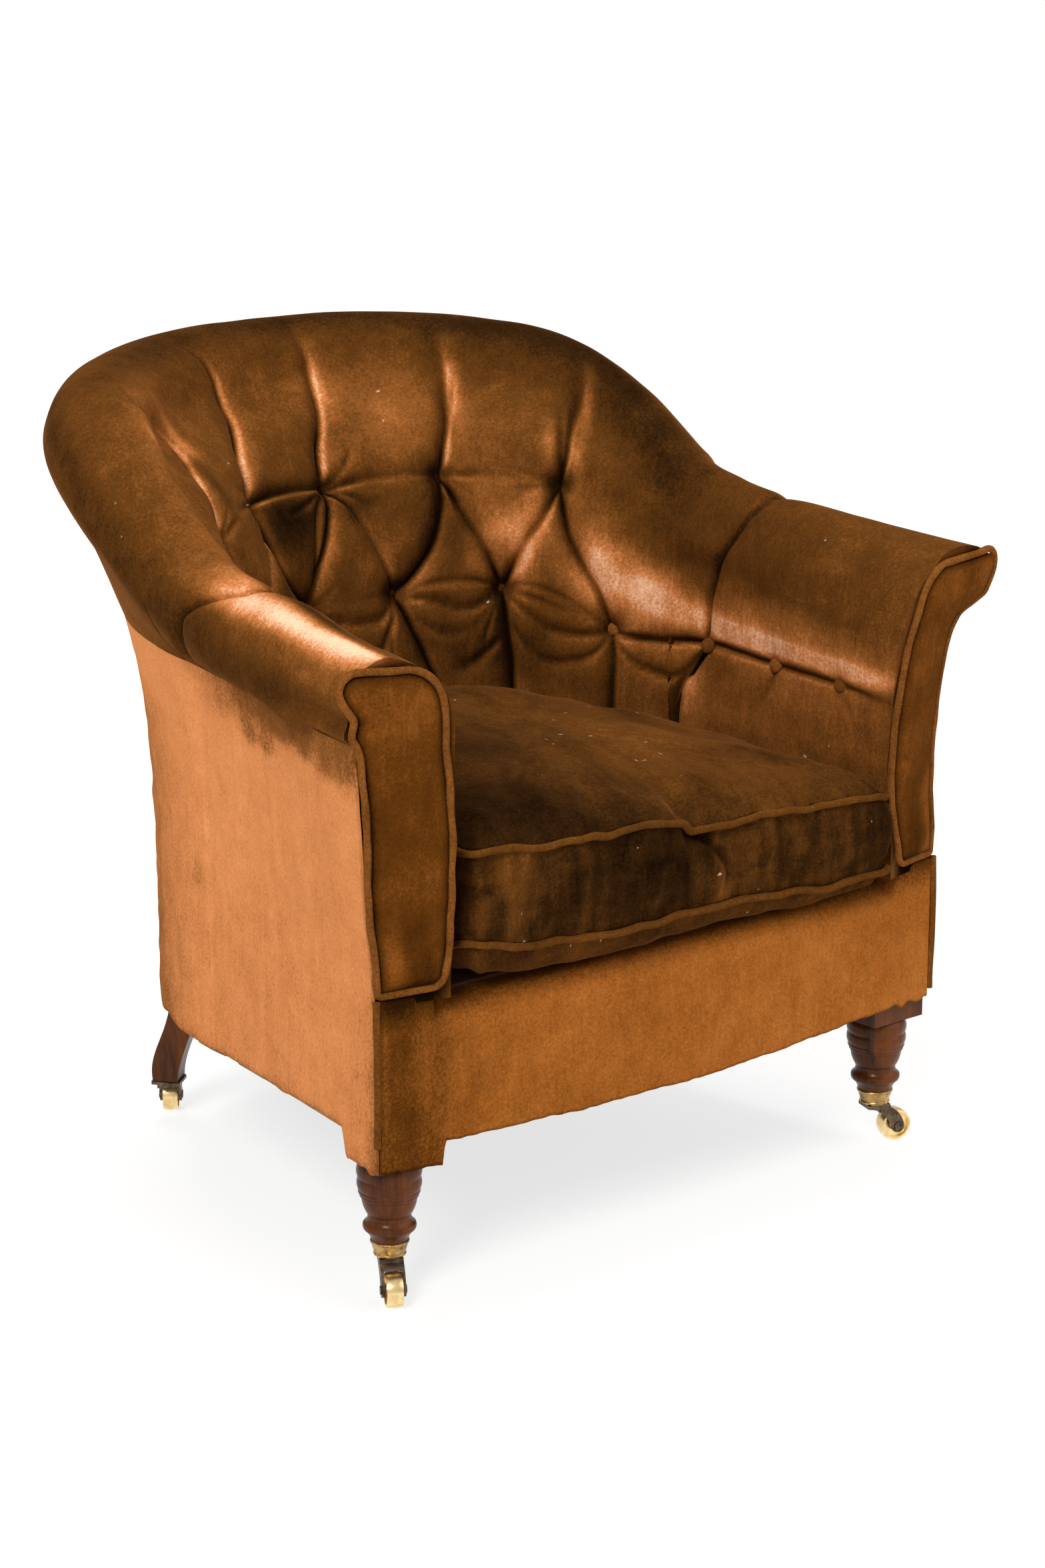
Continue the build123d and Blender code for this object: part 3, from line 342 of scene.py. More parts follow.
def clothFinish(name, dark, light, pitch=700):
    # a plain weave: two crossed sets of threads, pitch of them to the metre
    material, tree = newMaterial(name)
    where = add(tree, "TexCoord").outputs["Object"]
    part = add(tree, "SeparateXYZ", {"Vector": where})
    warp, weft = (compute(tree, "SINE", compute(tree, "MULTIPLY", part.outputs[k], pitch * 6.28))
                  for k in range(2))
    weave = compute(tree, "MULTIPLY", warp, weft)
    still = placeOf(tree)
    tone = compute(tree, "MULTIPLY_ADD", weave, .12, noiseOf(tree, still, 40, 4, .6))
    bump = add(tree, "Bump", {"Strength": .4, "Distance": .0005, "Height": weave})
    shader = add(tree, "BsdfPrincipled", {
        "Base Color": rampOf(tree, tone, ((.25, dark), (.75, light))), "Roughness": .95,
        "Specular IOR Level": .1, "Normal": bump.outputs[0]})
    finished(tree, shader)
    return material


legPolish = woodFinish("legPolish", finishes["polish"])
frameBeech = woodFinish("frameBeech", finishes["beech"], (.2, 1, 1))
agedBrass = metalFinish("agedBrass", (.55, .34, .12), (.16, .085, .03), .3)
brightBrass = metalFinish("brightBrass", (.95, .74, .38), (.74, .5, .2), .24)
darkBronze = metalFinish("darkBronze", (.16, .115, .075), (.045, .032, .024), .38)
springSteel = metalFinish("springSteel", (.32, .3, .28), (.12, .08, .06), .4)
blackCambric = clothFinish("blackCambric", (.012, .011, .01), (.035, .031, .028))
juteWeb = clothFinish("juteWeb", (.16, .1, .05), (.36, .26, .15), 260)
springCanvas = clothFinish("springCanvas", (.25, .18, .1), (.45, .36, .24), 420)
deckLining = clothFinish("deckLining", (.05, .022, .01), (.12, .055, .022), 480)

nodeFinishes = (
    ("front_leg", legPolish), ("rear_leg", legPolish), ("castor_cup", agedBrass),
    ("castor_plate", darkBronze), ("castor_horn", darkBronze), ("castor_axle", darkBronze),
    ("castor_wheel", brightBrass), ("seat_springs", springSteel), ("seat_webbing", juteWeb),
    ("spring_canvas", springCanvas), ("", frameBeech),
)
for name, node in nodes.items():
    material = next(m for start, m in nodeFinishes if name.startswith(start))
    for place in range(max(len(node.data.materials), 1)):
        if place < len(node.data.materials):
            node.data.materials[place] = material
        else:
            node.data.materials.append(material)
print("finishes made")

# Camera, lights and floor

photoView = {"place": (-2.3498, -2.5726, 1.4128), "tilt": 74.33, "roll": -.07, "turn": -40.1,
             "lens": 89.93, "sensor": 36}
camera = bpy.data.cameras.new("photoCamera")
camera.lens, camera.sensor_width = photoView["lens"], photoView["sensor"]
cameraHolder = bpy.data.objects.new("photoCamera", camera)
cameraHolder.location = photoView["place"]
cameraHolder.rotation_euler = [math.radians(photoView[k]) for k in ("tilt", "roll", "turn")]
bpy.context.scene.collection.objects.link(cameraHolder)
bpy.context.scene.camera = cameraHolder
bpy.context.scene.view_settings.view_transform = "Standard"

lamps = {
    "keyLamp": {"from": (-.85, -.5, .8), "power": 2.1, "soft": 22, "tint": (1, .985, .95)},
    "fillLamp": {"from": (.6, -.8, .6), "power": .8, "soft": 60, "tint": (1, .99, .97)},
    "topLamp": {"from": (.12, .2, 1), "power": 1.2, "soft": 24, "tint": (1, 1, 1)},
}
for name, lamp in lamps.items():
    light = bpy.data.lights.new(name, "SUN")
    light.energy, light.angle, light.color = lamp["power"], math.radians(lamp["soft"]), lamp["tint"]
    holder = bpy.data.objects.new(name, light)
    away = unit(np.array(lamp["from"]))
    holder.rotation_euler = (math.acos(away[2]), 0, math.atan2(away[0], -away[1]))
    bpy.context.scene.collection.objects.link(holder)

room = {"ambient": .34, "seen": 1, "mirrored": .45}
world = bpy.data.worlds.new("studio")
bpy.context.scene.world = world
world.use_nodes = True
tree = world.node_tree
tree.nodes.clear()
shown = directRays(tree, room["mirrored"])
strength = compute(tree, "MULTIPLY_ADD", shown, room["seen"] - room["ambient"], room["ambient"])
air = add(tree, "Background", {"Color": (1, 1, 1, 1), "Strength": strength})
add(tree, "OutputWorld", {"Surface": air.outputs[0]})

floorLook = {"half": 9, "step": .5, "glow": .735, "shadow": (.33, .33, .33),
             "real": (.78, .775, .77)}
floorMaterial, tree = newMaterial("paleFloor")
grainy = rampOf(tree, noiseOf(tree, placeOf(tree), 3, 2), (
    (0, [c * .99 for c in floorLook["shadow"]]), (1, floorLook["shadow"])))
catch = add(tree, "BsdfDiffuse", {"Color": grainy})
glow = add(tree, "Emission", {"Color": (1, 1, 1, 1), "Strength": floorLook["glow"]})
seen = add(tree, "AddShader", {0: catch.outputs[0], 1: glow.outputs[0]})
plain = add(tree, "BsdfDiffuse", {"Color": (*floorLook["real"], 1)})
finished(tree, add(tree, "MixShader", {
    0: directRays(tree), 1: plain.outputs[0], 2: seen.outputs[0]}))
spots = np.arange(-floorLook["half"], floorLook["half"] + .01, floorLook["step"])
floorGrid = np.stack([*np.meshgrid(spots, spots, indexing="xy"),
                      np.zeros((len(spots), len(spots)))], -1)
floor = meshPiece("floor", floorGrid, gridFaces(len(spots), len(spots)), floorMaterial)
print("camera, lights and floor made")

# The tub's shape, as in the frame: one value for every half place round the tub, from 0 at the
# middle of the back to 6 at the front of the arm, with one more past it

tub = {
    "turn": (90, 78.5, 67, 55.5, 44, 32.5, 21, 10, 5, 4, 5, 9, 15.6, 22),
    "armRun": (1, 1, 1, 1, 1, 1, 1, .838, .662, .49, .34, .19, 0, -.2),
    "rise": (1, 1, .98, .94, .84, .59, .27, .15, .11, .085, .06, .03, 0, -.02),
    "reach": (1, 1, .98, .9, .75, .39, .1, 0, -.06, -.1, -.1, -.08, -.06, -.06),
    "face": (.81, .8, .79, .76, .67, .56, .35, .28, .32, .365, .4, .44, .52, .56),
    "foot": (1, .98, .92, .82, .65, .49, .31, .25, .315, .365, .405, .44, .46, .48),
    "bend": (.57, .57, .57, .55, .49, .39, .27, .23, .27, .32, .355, .4, .48, .52),
    "bendRise": (.96, .98, 1, .96, .88, .64, .31, .15, .08, .05, .03, .01, 0, 0),
    "rowRise": (1, 1, 1, 1, .64, .15, .04, 0, 0, 0, 0, 0, 0, 0),
    "innerRoll": (1, 1, 1, 1, .95, .8, .65, .6, .75, .88, .92, .98, 1.2, 1.25),
    "lowerTuft": (1, 1, 1, .91, .82, .73, .4, .2, .2, .2, .2, .2, 0, 0),
}
tubSize = {
    "radius": .306, "centre": .3, "frontHalf": .35, "fan": 29.5, "armPlace": 3, "lastPlace": 6.5,
    "padDepth": .158, "tuft": .022, "seatLevel": .2923, "hem": .163, "railFoot": .033,
    "bendLevel": .54, "bendLift": .102, "rowLevel": .478, "rowLift": .047, "armOut": .003,
    "neckReach": .015, "neckFlare": .014, "neckLevel": .54, "neckLift": .018,
    "rollReach": .051, "rollLevel": .565, "rollLift": .16, "rollRadius": .052, "rollGrow": .01,
}


def along(table, place):
    entries = tub[table]
    values = np.array((entries[1], *entries, entries[-1]), float)
    spot = np.clip(np.abs(place), 0, tubSize["lastPlace"]) * 2
    low = np.minimum(spot.astype(int), len(entries) - 2)
    t = spot - low
    before, start, end, after = (values[low + k] for k in range(4))
    a, b, c, d = cubicWeights(t)
    return a * start + b * (end - before) / 2 + c * end + d * (after - start) / 2


def hemPoint(place):
    p = np.abs(place)
    radius, centre, half = tubSize["radius"], tubSize["centre"], tubSize["frontHalf"]
    angle = np.radians(90 - tubSize["fan"] * p)
    armEnd = centre + radius * math.sin(math.radians(90 - tubSize["fan"] * tubSize["armPlace"]))
    armY = armEnd * along("armRun", p)
    inRound = p <= tubSize["armPlace"]
    x = np.where(inRound, radius * np.cos(angle), half + (radius - half) * armY / centre)
    y = np.where(inRound, centre + radius * np.sin(angle), armY)
    return np.where(place < 0, -1, 1) * x, y


def outward(place):
    turn = np.radians(along("turn", place))
    return np.where(place < 0, -1, 1) * np.cos(turn), np.sin(turn)


def inSpace(place, reach, level):
    x, y = hemPoint(place)
    outX, outY = outward(place)
    return np.stack(np.broadcast_arrays(x + reach * outX, y + reach * outY, level), -1)


def neck(place):
    rise = along("rise", place)
    return (tubSize["neckReach"] + tubSize["neckFlare"] * rise,
            tubSize["neckLevel"] + tubSize["neckLift"] * rise)


def bendLevel(place):
    # the height of the upper row of buttons
    return tubSize["bendLevel"] + tubSize["bendLift"] * along("bendRise", place)


def rowPoint(place, up):
    # the reach and height of the lower row, where up falls from 1 at the back to 0 at the arms' fronts
    return (-tubSize["padDepth"] * along("face", place) + tubSize["armOut"] * (1 - up),
            tubSize["rowLevel"] + tubSize["rowLift"] * along("rowRise", place))


def padSection(place):
    # thirteen points across the stuffing: neck, roll, shoulder, upper row, lower row, foot
    depth = -tubSize["padDepth"]
    rise = along("rise", place)
    up = np.maximum(rise, 0)
    reach = tubSize["rollReach"] * along("reach", place)
    level = tubSize["rollLevel"] + tubSize["rollLift"] * rise
    radius = tubSize["rollRadius"] + tubSize["rollGrow"] * rise
    inner = radius * along("innerRoll", place)
    neckReach, neckLevel = neck(place)
    row = rowPoint(place, up)
    bend = depth * along("bend", place), bendLevel(place)
    foot = depth * along("foot", place), tubSize["seatLevel"] + 0 * rise
    shoulder = reach - inner, level + radius * .27 * (1 - up)
    fall = (shoulder[0] + bend[0]) / 2 - .01 * up - .001, (shoulder[1] + bend[1]) / 2
    diamond = (bend[0] + row[0]) / 2 - .005 * up - .001, (bend[1] + row[1]) / 2
    low = (row[0] + foot[0]) / 2 - .008 * up - .001, (row[1] + foot[1]) / 2
    end = smoothStep(5.2, 5.95, np.abs(place))  # the roll narrows to the facing's head
    return np.array([
        (neckReach, neckLevel + .0003),
        (reach + radius * (.88 - .63 * up - .27 * end),
         level - radius * (.42 + .78 * up - .16 * end)),
        (reach + radius * .97, level + radius * .22),
        (reach + radius * .74, level + radius * .7),
        (reach, level + radius),
        (reach - inner * .62, level + radius * .74),
        shoulder, fall, bend, diamond, row, low, foot]).transpose(0, 2, 1)


def padShape(place, row):
    # a point of the stuffing's face at a place and at a row from 0 at the neck to 12 at the foot
    place, row = np.broadcast_arrays(np.asarray(place, float), np.asarray(row, float))
    shape, place, row = place.shape, place.ravel(), row.ravel()
    points = padSection(place)
    step = points[1:] - points[:-1]
    chord = np.linalg.norm(step, axis=2, keepdims=True)
    slope = step / chord
    middle = (slope[1:] * chord[:-1] + slope[:-1] * chord[1:]) / (chord[1:] + chord[:-1])
    tangent = np.concatenate([slope[:1], middle, slope[-1:]])
    i, n = np.clip(np.floor(row).astype(int), 0, 11), np.arange(len(row))
    t, length = (row - i)[:, None], chord[i, n]
    a, b, c, d = cubicWeights(t)
    spot = (a * points[i, n] + b * tangent[i, n] * length
            + c * points[i + 1, n] + d * tangent[i + 1, n] * length)
    return inSpace(place, spot[:, 0], spot[:, 1]).reshape(*shape, 3)


# The facing plane closes the front of each arm: turned outward, and leaning forward at the top
facing = {"lean": 5, "foot": .301, "turn": 15.6, "padGap": .0062}
lean, turn = math.radians(facing["lean"]), math.radians(facing["turn"])
facingOut = np.array((math.cos(turn), math.sin(turn), 0))
facingAhead = np.array((math.sin(turn) * math.cos(lean), -math.cos(turn) * math.cos(lean),
                        -math.sin(lean)))
facingUp = np.cross(facingAhead, facingOut)
facingStart = np.array((tubSize["frontHalf"], 0, 0)) - np.array(
    (math.sin(turn), -math.cos(turn), 0)) * facing["foot"] * math.tan(lean)
mirror = np.array((-1, 1, 1))


def placeWhere(shape, rows, first, start, ahead, gap):
    # the place, from first on, at which each row of a surface comes to a gap behind a plane
    tries = np.linspace(first, tubSize["lastPlace"], 91)
    points = shape(tries[None, :] + 0 * rows[:, None], rows[:, None] + 0 * tries[None, :])
    return np.array([np.interp(-gap, -line, tries) for line in (start - points) @ ahead])


def frontPlace(shape, rows):
    return placeWhere(shape, rows, 5, facingStart, facingAhead, facing["padGap"])


# Tufted inside: one stuffed back and two arms, with sewn pleats, buttons and swags

backSeams = {
    1: ((0, 3.86), (3, 3.98), (4.35, 4), (5.8, 3.85), (7.6, 3.6), (8.8, 3.5), (10, 3.49),
        (10.4, 3.25), (10.8, 3.12), (12, 3.05)),
    -1: ((0, 3.3), (1, 3.38), (2, 3.47), (2.7, 3.62), (3.2, 3.8), (3.6, 4), (4.35, 4.05),
         (5.8, 3.85), (7.6, 3.6), (8.8, 3.5), (10, 3.49), (10.4, 3.25), (10.8, 3.12), (12, 3.05)),
}


def seamPlace(row, side):
    rowsDown, places = zip(*backSeams[side])
    return side * np.interp(row, rowsDown, places)


# the tufts' shape, and the width and strength of the painted shade along creases and round the buttons
tuftLook = {
    "deepest": .0235, "dimple": .011, "flat": .004, "rays": 11, "rayDepth": .004, "swell": .003,
    "unevenness": .0012, "sharp": 4, "round": .0015, "line": .0024, "seam": .0085, "crisp": .42,
    "crispSpread": .004, "spread": .72, "buttonShade": .62, "buttonShadeWide": .013, "buttonTilt": 12,
}
napShadingLook = {  # the pile's tone with painted light: its plain value, the painted shading that slopes add by facing the light direction, the painted highlights along crease edges, and its limits
    "plain": .45, "litSlope": .24, "edge": .24, "edgeOff": .0048, "edgeWide": .0024,
    "edgeFarSide": .3, "contrast": 1.22, "brightest": .86, "light": (-.8, -.1, .55),
}
upperRow, lowerRow = 8, 10
buttonPlaces = [(place, True) for place in (-2, -1, 0, 1, 2)]
buttonPlaces += [(side * (k + .5), False) for side in (-1, 1) for k in range(6)]

# each crease: its route as (place, row), its depths along it in mm, its spreads either side in mm
creases = [
    (((-.02, 8), (.03, 7.15), (.2, 6.35), (.25, 5.65), (.23, 5.1), (.22, 4.2)),
     (22, 15, 11, 8, 5, 0), (9, 14)),
    (((1, 8), (1.07, 7.3), (1.14, 6.5), (1.17, 5.8), (1.14, 5.2), (1.1, 4.3)),
     (22, 14, 10, 8, 5, 0), (8, 13)),
    (((1.02, 7.8), (1.1, 7), (1.2, 6.2), (1.24, 5.3)), (12, 10, 8, 0), (5, 5)),
    (((2, 8), (2.04, 7.15), (2.06, 6.5), (2.1, 5.6), (2.16, 4.7)), (21, 12, 9, 6, 0), (8, 11)),
    (((2, 7.8), (2, 6.8), (1.98, 5.9)), (11, 8, 0), (5, 5)),
    (((-1, 8), (-.86, 7.1), (-.6, 6.4), (-.53, 5.7), (-.62, 4.9), (-.72, 4.3)),
     (22, 17, 14, 11, 6, 0), (12, 12)),
    (((-2, 8), (-1.8, 6.9), (-1.55, 6.3), (-1.75, 5.4), (-1.95, 4.3)),
     (21, 14, 11, 8, 0), (11, 13)),
    (((0, 8), (.11, 8.4), (.27, 9.05), (.42, 9.65), (.5, 10)), (20, 9, 7, 10, 22), (11, 11)),
    (((0, 8), (-.06, 8.5), (-.18, 9), (-.38, 9.5), (-.5, 10)), (21, 17, 16, 18, 22), (17, 10)),
    (((0, 8), (-.17, 8.35), (-.34, 9), (-.5, 10)), (14, 9, 8, 13), (6, 6)),
    (((-1, 8), (-.96, 8.7), (-.8, 9.4), (-.5, 10)), (21, 16, 15, 21), (13, 13)),
    (((-1, 8), (-1.06, 8.8), (-1.2, 9.4), (-1.5, 10)), (21, 17, 15, 21), (13, 16)),
    (((-2, 8), (-1.85, 8.7), (-1.68, 9.2), (-1.5, 10)), (21, 14, 14, 20), (13, 13)),
    (((-2, 8), (-2.1, 8.8), (-2.25, 9.2), (-2.5, 10)), (20, 14, 12, 16), (12, 15)),
    (((1, 8), (.97, 8.6), (.87, 9.2), (.7, 9.65), (.5, 10)), (21, 17, 17, 18, 22), (10, 20)),
    (((1, 8), (1.15, 8.65), (1.33, 9.25), (1.5, 10)), (20, 10, 9, 21), (9, 10)),
    (((2, 8), (1.86, 8.65), (1.7, 9.15), (1.5, 10)), (20, 10, 9, 21), (9, 9)),
    (((2, 8), (2.09, 8.75), (2.25, 9.2), (2.4, 9.55), (2.5, 10)), (20, 14, 12, 12, 17), (9, 20)),
    (((.5, 10), (.62, 10.3), (.75, 10.6), (.88, 11), (.95, 12)), (22, 17, 15, 14, 14), (12, 17)),
    (((1.5, 10), (1.55, 10.4), (1.6, 10.8), (1.62, 12)), (22, 18, 16, 15), (13, 13)),
    (((2.5, 10), (2.53, 10.35), (2.52, 10.8), (2.5, 12)), (17, 13, 12, 11), (12, 12)),
    (((-.5, 10), (-.58, 10.5), (-.66, 11), (-.7, 12)), (22, 17, 15, 14), (14, 14)),
    (((-1.5, 10), (-1.55, 10.5), (-1.6, 11), (-1.62, 12)), (21, 17, 15, 14), (12, 12)),
    (((-2.5, 10), (-2.53, 10.5), (-2.5, 12)), (17, 13, 11), (12, 12)),
    (((.5, 10), (.75, 9.88), (1.1, 9.84), (1.5, 9.94)), (10, 5, 4, 10), (5, 5)),
    (((.5, 10), (.8, 10.06), (1.15, 10.16), (1.5, 10.02)), (12, 8, 7, 11), (4, 8)),
    (((.62, 10.2), (.95, 10.36), (1.3, 10.3)), (7, 6, 0), (3, 6)),
    (((.86, 10.62), (1.15, 10.66), (1.5, 10.4)), (0, 5, 9), (3, 6)),
    (((1.5, 10), (1.66, 10.1), (1.9, 10.22), (2.15, 10.2), (2.5, 10.02)),
     (12, 8, 7, 7, 10), (4, 9)),
    (((1.58, 10.28), (1.8, 10.5), (2.03, 10.52), (2.3, 10.36), (2.48, 10.1)),
     (8, 6, 6, 5, 8), (3, 7)),
    (((1.52, 9.92), (1.8, 9.8), (2.15, 9.83), (2.45, 9.94)), (9, 4, 3, 8), (4, 5)),
    (((1.62, 9.98), (1.95, 10.02), (2.2, 9.98)), (8, 4, 0), (3, 3)),
    (((-.5, 10), (-.2, 10.14), (.2, 10.2), (.5, 10.02)), (12, 8, 7, 11), (4, 8)),
    (((-.45, 10.3), (-.2, 10.55), (.15, 10.5), (.42, 10.2)), (6, 5, 4, 7), (3, 6)),
    (((-1.5, 10), (-1.2, 10.2), (-.8, 10.14), (-.5, 10.02)), (12, 7, 8, 11), (4, 8)),
    (((-2.5, 10), (-2.2, 10.2), (-1.8, 10.25), (-1.5, 10.02)), (10, 7, 6, 10), (4, 8)),
    (((0, 8), (.35, 8.0), (.7, 8.02), (1, 8)), (14, 6, 4, 12), (12, 6)),
    (((.06, 8.1), (.24, 8.36), (.4, 8.6)), (9, 5, 0), (3, 3)),
    (((-1, 8), (-.6, 7.98), (-.3, 7.98), (0, 8)), (16, 10, 9, 14), (14, 6)),
    (((-.1, 8.1), (-.35, 8.3), (-.7, 8.42)), (9, 5, 0), (3, 3)),
    (((1, 8), (1.4, 8.05), (1.7, 8.03), (2, 8)), (11, 3, 2, 10), (10, 6)),
]
for side in (-1, 1):
    creases += [
        (((side * 2.5, 10), (side * 2.93, 10.04), (side * 3.45, 9.95), (side * 3.9, 9.93),
          (side * 4.5, 10), (side * 5.1, 9.96), (side * 5.6, 10), (side * 6, 10.05)),
         (14, 11, 11, 10, 10, 9, 8, 3), (4, 14) if side > 0 else (14, 4)),
        (((side * 3.5, 10), (side * 3.33, 10.3), (side * 3.15, 10.65), (side * 3.05, 12)),
         (13, 12, 12, 10), (7, 7)),
        (((side * 4.5, 10), (side * 4.4, 10.3), (side * 4.2, 10.7), (side * 4.1, 11.4)),
         (8, 6, 4, 0), (5, 9)),
        (((side * 2.55, 10.1), (side * 2.8, 10.35), (side * 3.15, 10.4), (side * 3.45, 10.1)),
         (8, 7, 7, 8), (4, 8)),
    ]
napShadingPatches = [  # brushed or crushed pile with painted highlights and painted shade: (place, row), reach in places and rows, lighter or darker
    (.62, 6.9, .36, .9, .13), (.5, 5.9, .3, .5, .03), (1.55, 6.9, .34, 1.1, .02),
    (-.45, 7, .4, .8, -.02), (.6, 4.2, 2, .8, -.2), (1.21, 5.9, .06, .8, .22),
    (2.16, 5.7, .05, .8, .26), (.28, 5.9, .05, .7, .12), (1.92, 7.2, .07, .7, .16),
    (2.13, 7.3, .06, .6, .18), (1.08, 7.4, .05, .5, .12), (2.75, 5.8, .6, 1.6, -.17),
    (2.5, 4.3, .9, 1, -.1), (1.6, 4.9, .5, .6, -.08), (3.1, 7.9, .6, .8, -.05),
    (2.95, 9.2, .55, .6, .36), (2.36, 8.9, .18, .6, .24), (3.9, 9.4, .6, .4, .42),
    (4.9, 9.4, .7, .4, .4), (5.7, 9.45, .4, .4, .34), (4.7, 8.7, 1.6, .5, .12),
    (4.5, 5.4, 1.2, 1.2, -.04), (5.1, 7.4, 1.1, .8, .0), (-.65, 8.45, .45, .5, -.34),
    (.15, 8.35, .28, .35, -.16), (.65, 8.4, .3, .25, -.06), (1, 8.4, .14, .3, -.12),
    (.35, 9.2, .22, .5, .05), (.98, 9.05, .26, .6, -.12), (1.5, 8.9, .22, .6, .2),
    (1.68, 9.3, .12, .5, .3), (2.2, 9.45, .22, .3, .12), (1.22, 9.5, .14, .3, .1),
    (1.86, 8.6, .16, .5, .22), (-.65, 9.8, .5, .6, -.16), (1.2, 10.5, 1.1, .35, -.14),
    (2.1, 10.7, .5, .4, -.06), (3.3, 10.5, .16, .35, .22), (4.6, 10.6, 1.6, .5, .08),
    (5.2, 10.2, .8, .2, .08), (-5.7, 3.5, .9, .55, .34), (-4.7, 3.45, .7, .52, .32),
    (-4, 3.25, .45, .48, .24), (-5.95, 3.8, .35, .3, .2), (-4.9, 4.35, .7, .35, -.4),
    (-5, 1.4, 1.6, .7, -.12), (-5.6, 2.3, .8, .4, .06), (-3.9, 4, .6, .4, .12),
    (-2.7, 4.5, .8, .7, .1), (-2.7, 2.8, .9, .9, .07), (-3.1, 1.3, .9, 1, -.12),
    (-2.3, 2.6, 1.4, .7, -.16), (-1.75, 5, .5, .5, .1), (-1.45, 6.2, .07, .5, .2),
    (-1.2, 4.5, .8, .8, -.04), (-2.2, 5.8, .6, .6, .05), (-2.1, 5.4, .1, .6, .14),
    (-1.6, 7, .1, .7, -.14),
]


def smoothRoute(route, count):
    route = np.array(route, float)
    knots = np.vstack([2 * route[0] - route[1], route, 2 * route[-1] - route[-2]])
    s = np.linspace(0, len(route) - 1, count)
    i = np.minimum(s.astype(int), len(route) - 2)
    u = (s - i)[:, None]
    a, b, c, d = (knots[i + k] for k in range(4))
    return .5 * (2 * b + (c - a) * u + (2 * a - 5 * b + 4 * c - d) * u**2
                 + (3 * b - a - 3 * c + d) * u**3)


def pinch(points, normals, path, depths, spreads):
    # how far a crease along a path draws each point in, sharp at the path and easing off each
    # side, how strongly its painted shade line marks it, and how strongly its painted edge highlight
    # does
    count = len(path)
    reach = 5 * max(spreads)
    near = np.where(((points > path.min(0) - reach) & (points < path.max(0) + reach)).all(1))[0]
    result, mark, glint = (np.zeros(len(points)) for _ in range(3))
    if not len(near):
        return result, mark, glint
    step = path[1:] - path[:-1]
    best = np.full(len(near), farAway)
    where, off = np.zeros(len(near)), np.zeros((len(near), 3))
    heading = np.zeros((len(near), 3))
    for k in range(count - 1):
        gap = points[near] - path[k]
        t = np.clip(gap @ step[k] / max(step[k] @ step[k], 1e-12), 0, 1)
        gap = gap - t[:, None] * step[k]
        distance = np.linalg.norm(gap, axis=1)
        nearer = distance < best
        best[nearer] = distance[nearer]
        where[nearer] = (k + t[nearer]) / (count - 1)
        off[nearer] = gap[nearer]
        heading[nearer] = step[k]
    side = np.einsum("ij,ij->i", np.cross(heading, off), normals[near])
    spread = np.where(side > 0, spreads[0], spreads[1])
    depth = np.interp(where, np.linspace(0, 1, len(depths)), depths)
    offPath = np.sqrt(best**2 + tuftLook["round"]**2) - tuftLook["round"]
    crisp = tuftLook["crisp"]
    result[near] = depth * (crisp * np.exp(-offPath / tuftLook["crispSpread"])
                            + (1 - crisp) * np.exp(-offPath / spread))
    mark[near] = np.clip((depth - .005) / .013, 0, 1) * np.exp(-(best / tuftLook["line"])**1.5)
    glint[near] = (np.clip((depth - .004) / .012, 0, 1)
                   * np.exp(-((best - napShadingLook["edgeOff"]) / napShadingLook["edgeWide"])**2)
                   * np.where(side < 0, 1, napShadingLook["edgeFarSide"]))
    return result, mark, glint


def buttonSpot(place, upper):
    # where a button sits in its tuft, and which way it faces
    if upper:
        reach = -tubSize["padDepth"] * along("bend", place) + tubSize["tuft"]
        level = bendLevel(place)
    else:
        reach, level = rowPoint(place, max(float(along("rise", place)), 0))
        reach = reach + tubSize["tuft"] * along("lowerTuft", place)
    outX, outY = outward(place)
    tilt = math.radians(tuftLook["buttonTilt"])
    normal = np.array((-outX * math.cos(tilt), -outY * math.cos(tilt), math.sin(tilt)), float)
    return inSpace(place, reach, level), normal


def evened(values):
    # each value shares a little with its neighbours in both directions of the grid
    for _ in range(2):
        padded = np.pad(values, 1, mode="edge")
        values = (2 * values + padded[:-2, 1:-1] + padded[2:, 1:-1] + padded[1:-1, :-2]
                  + padded[1:-1, 2:]) / 6
    return values


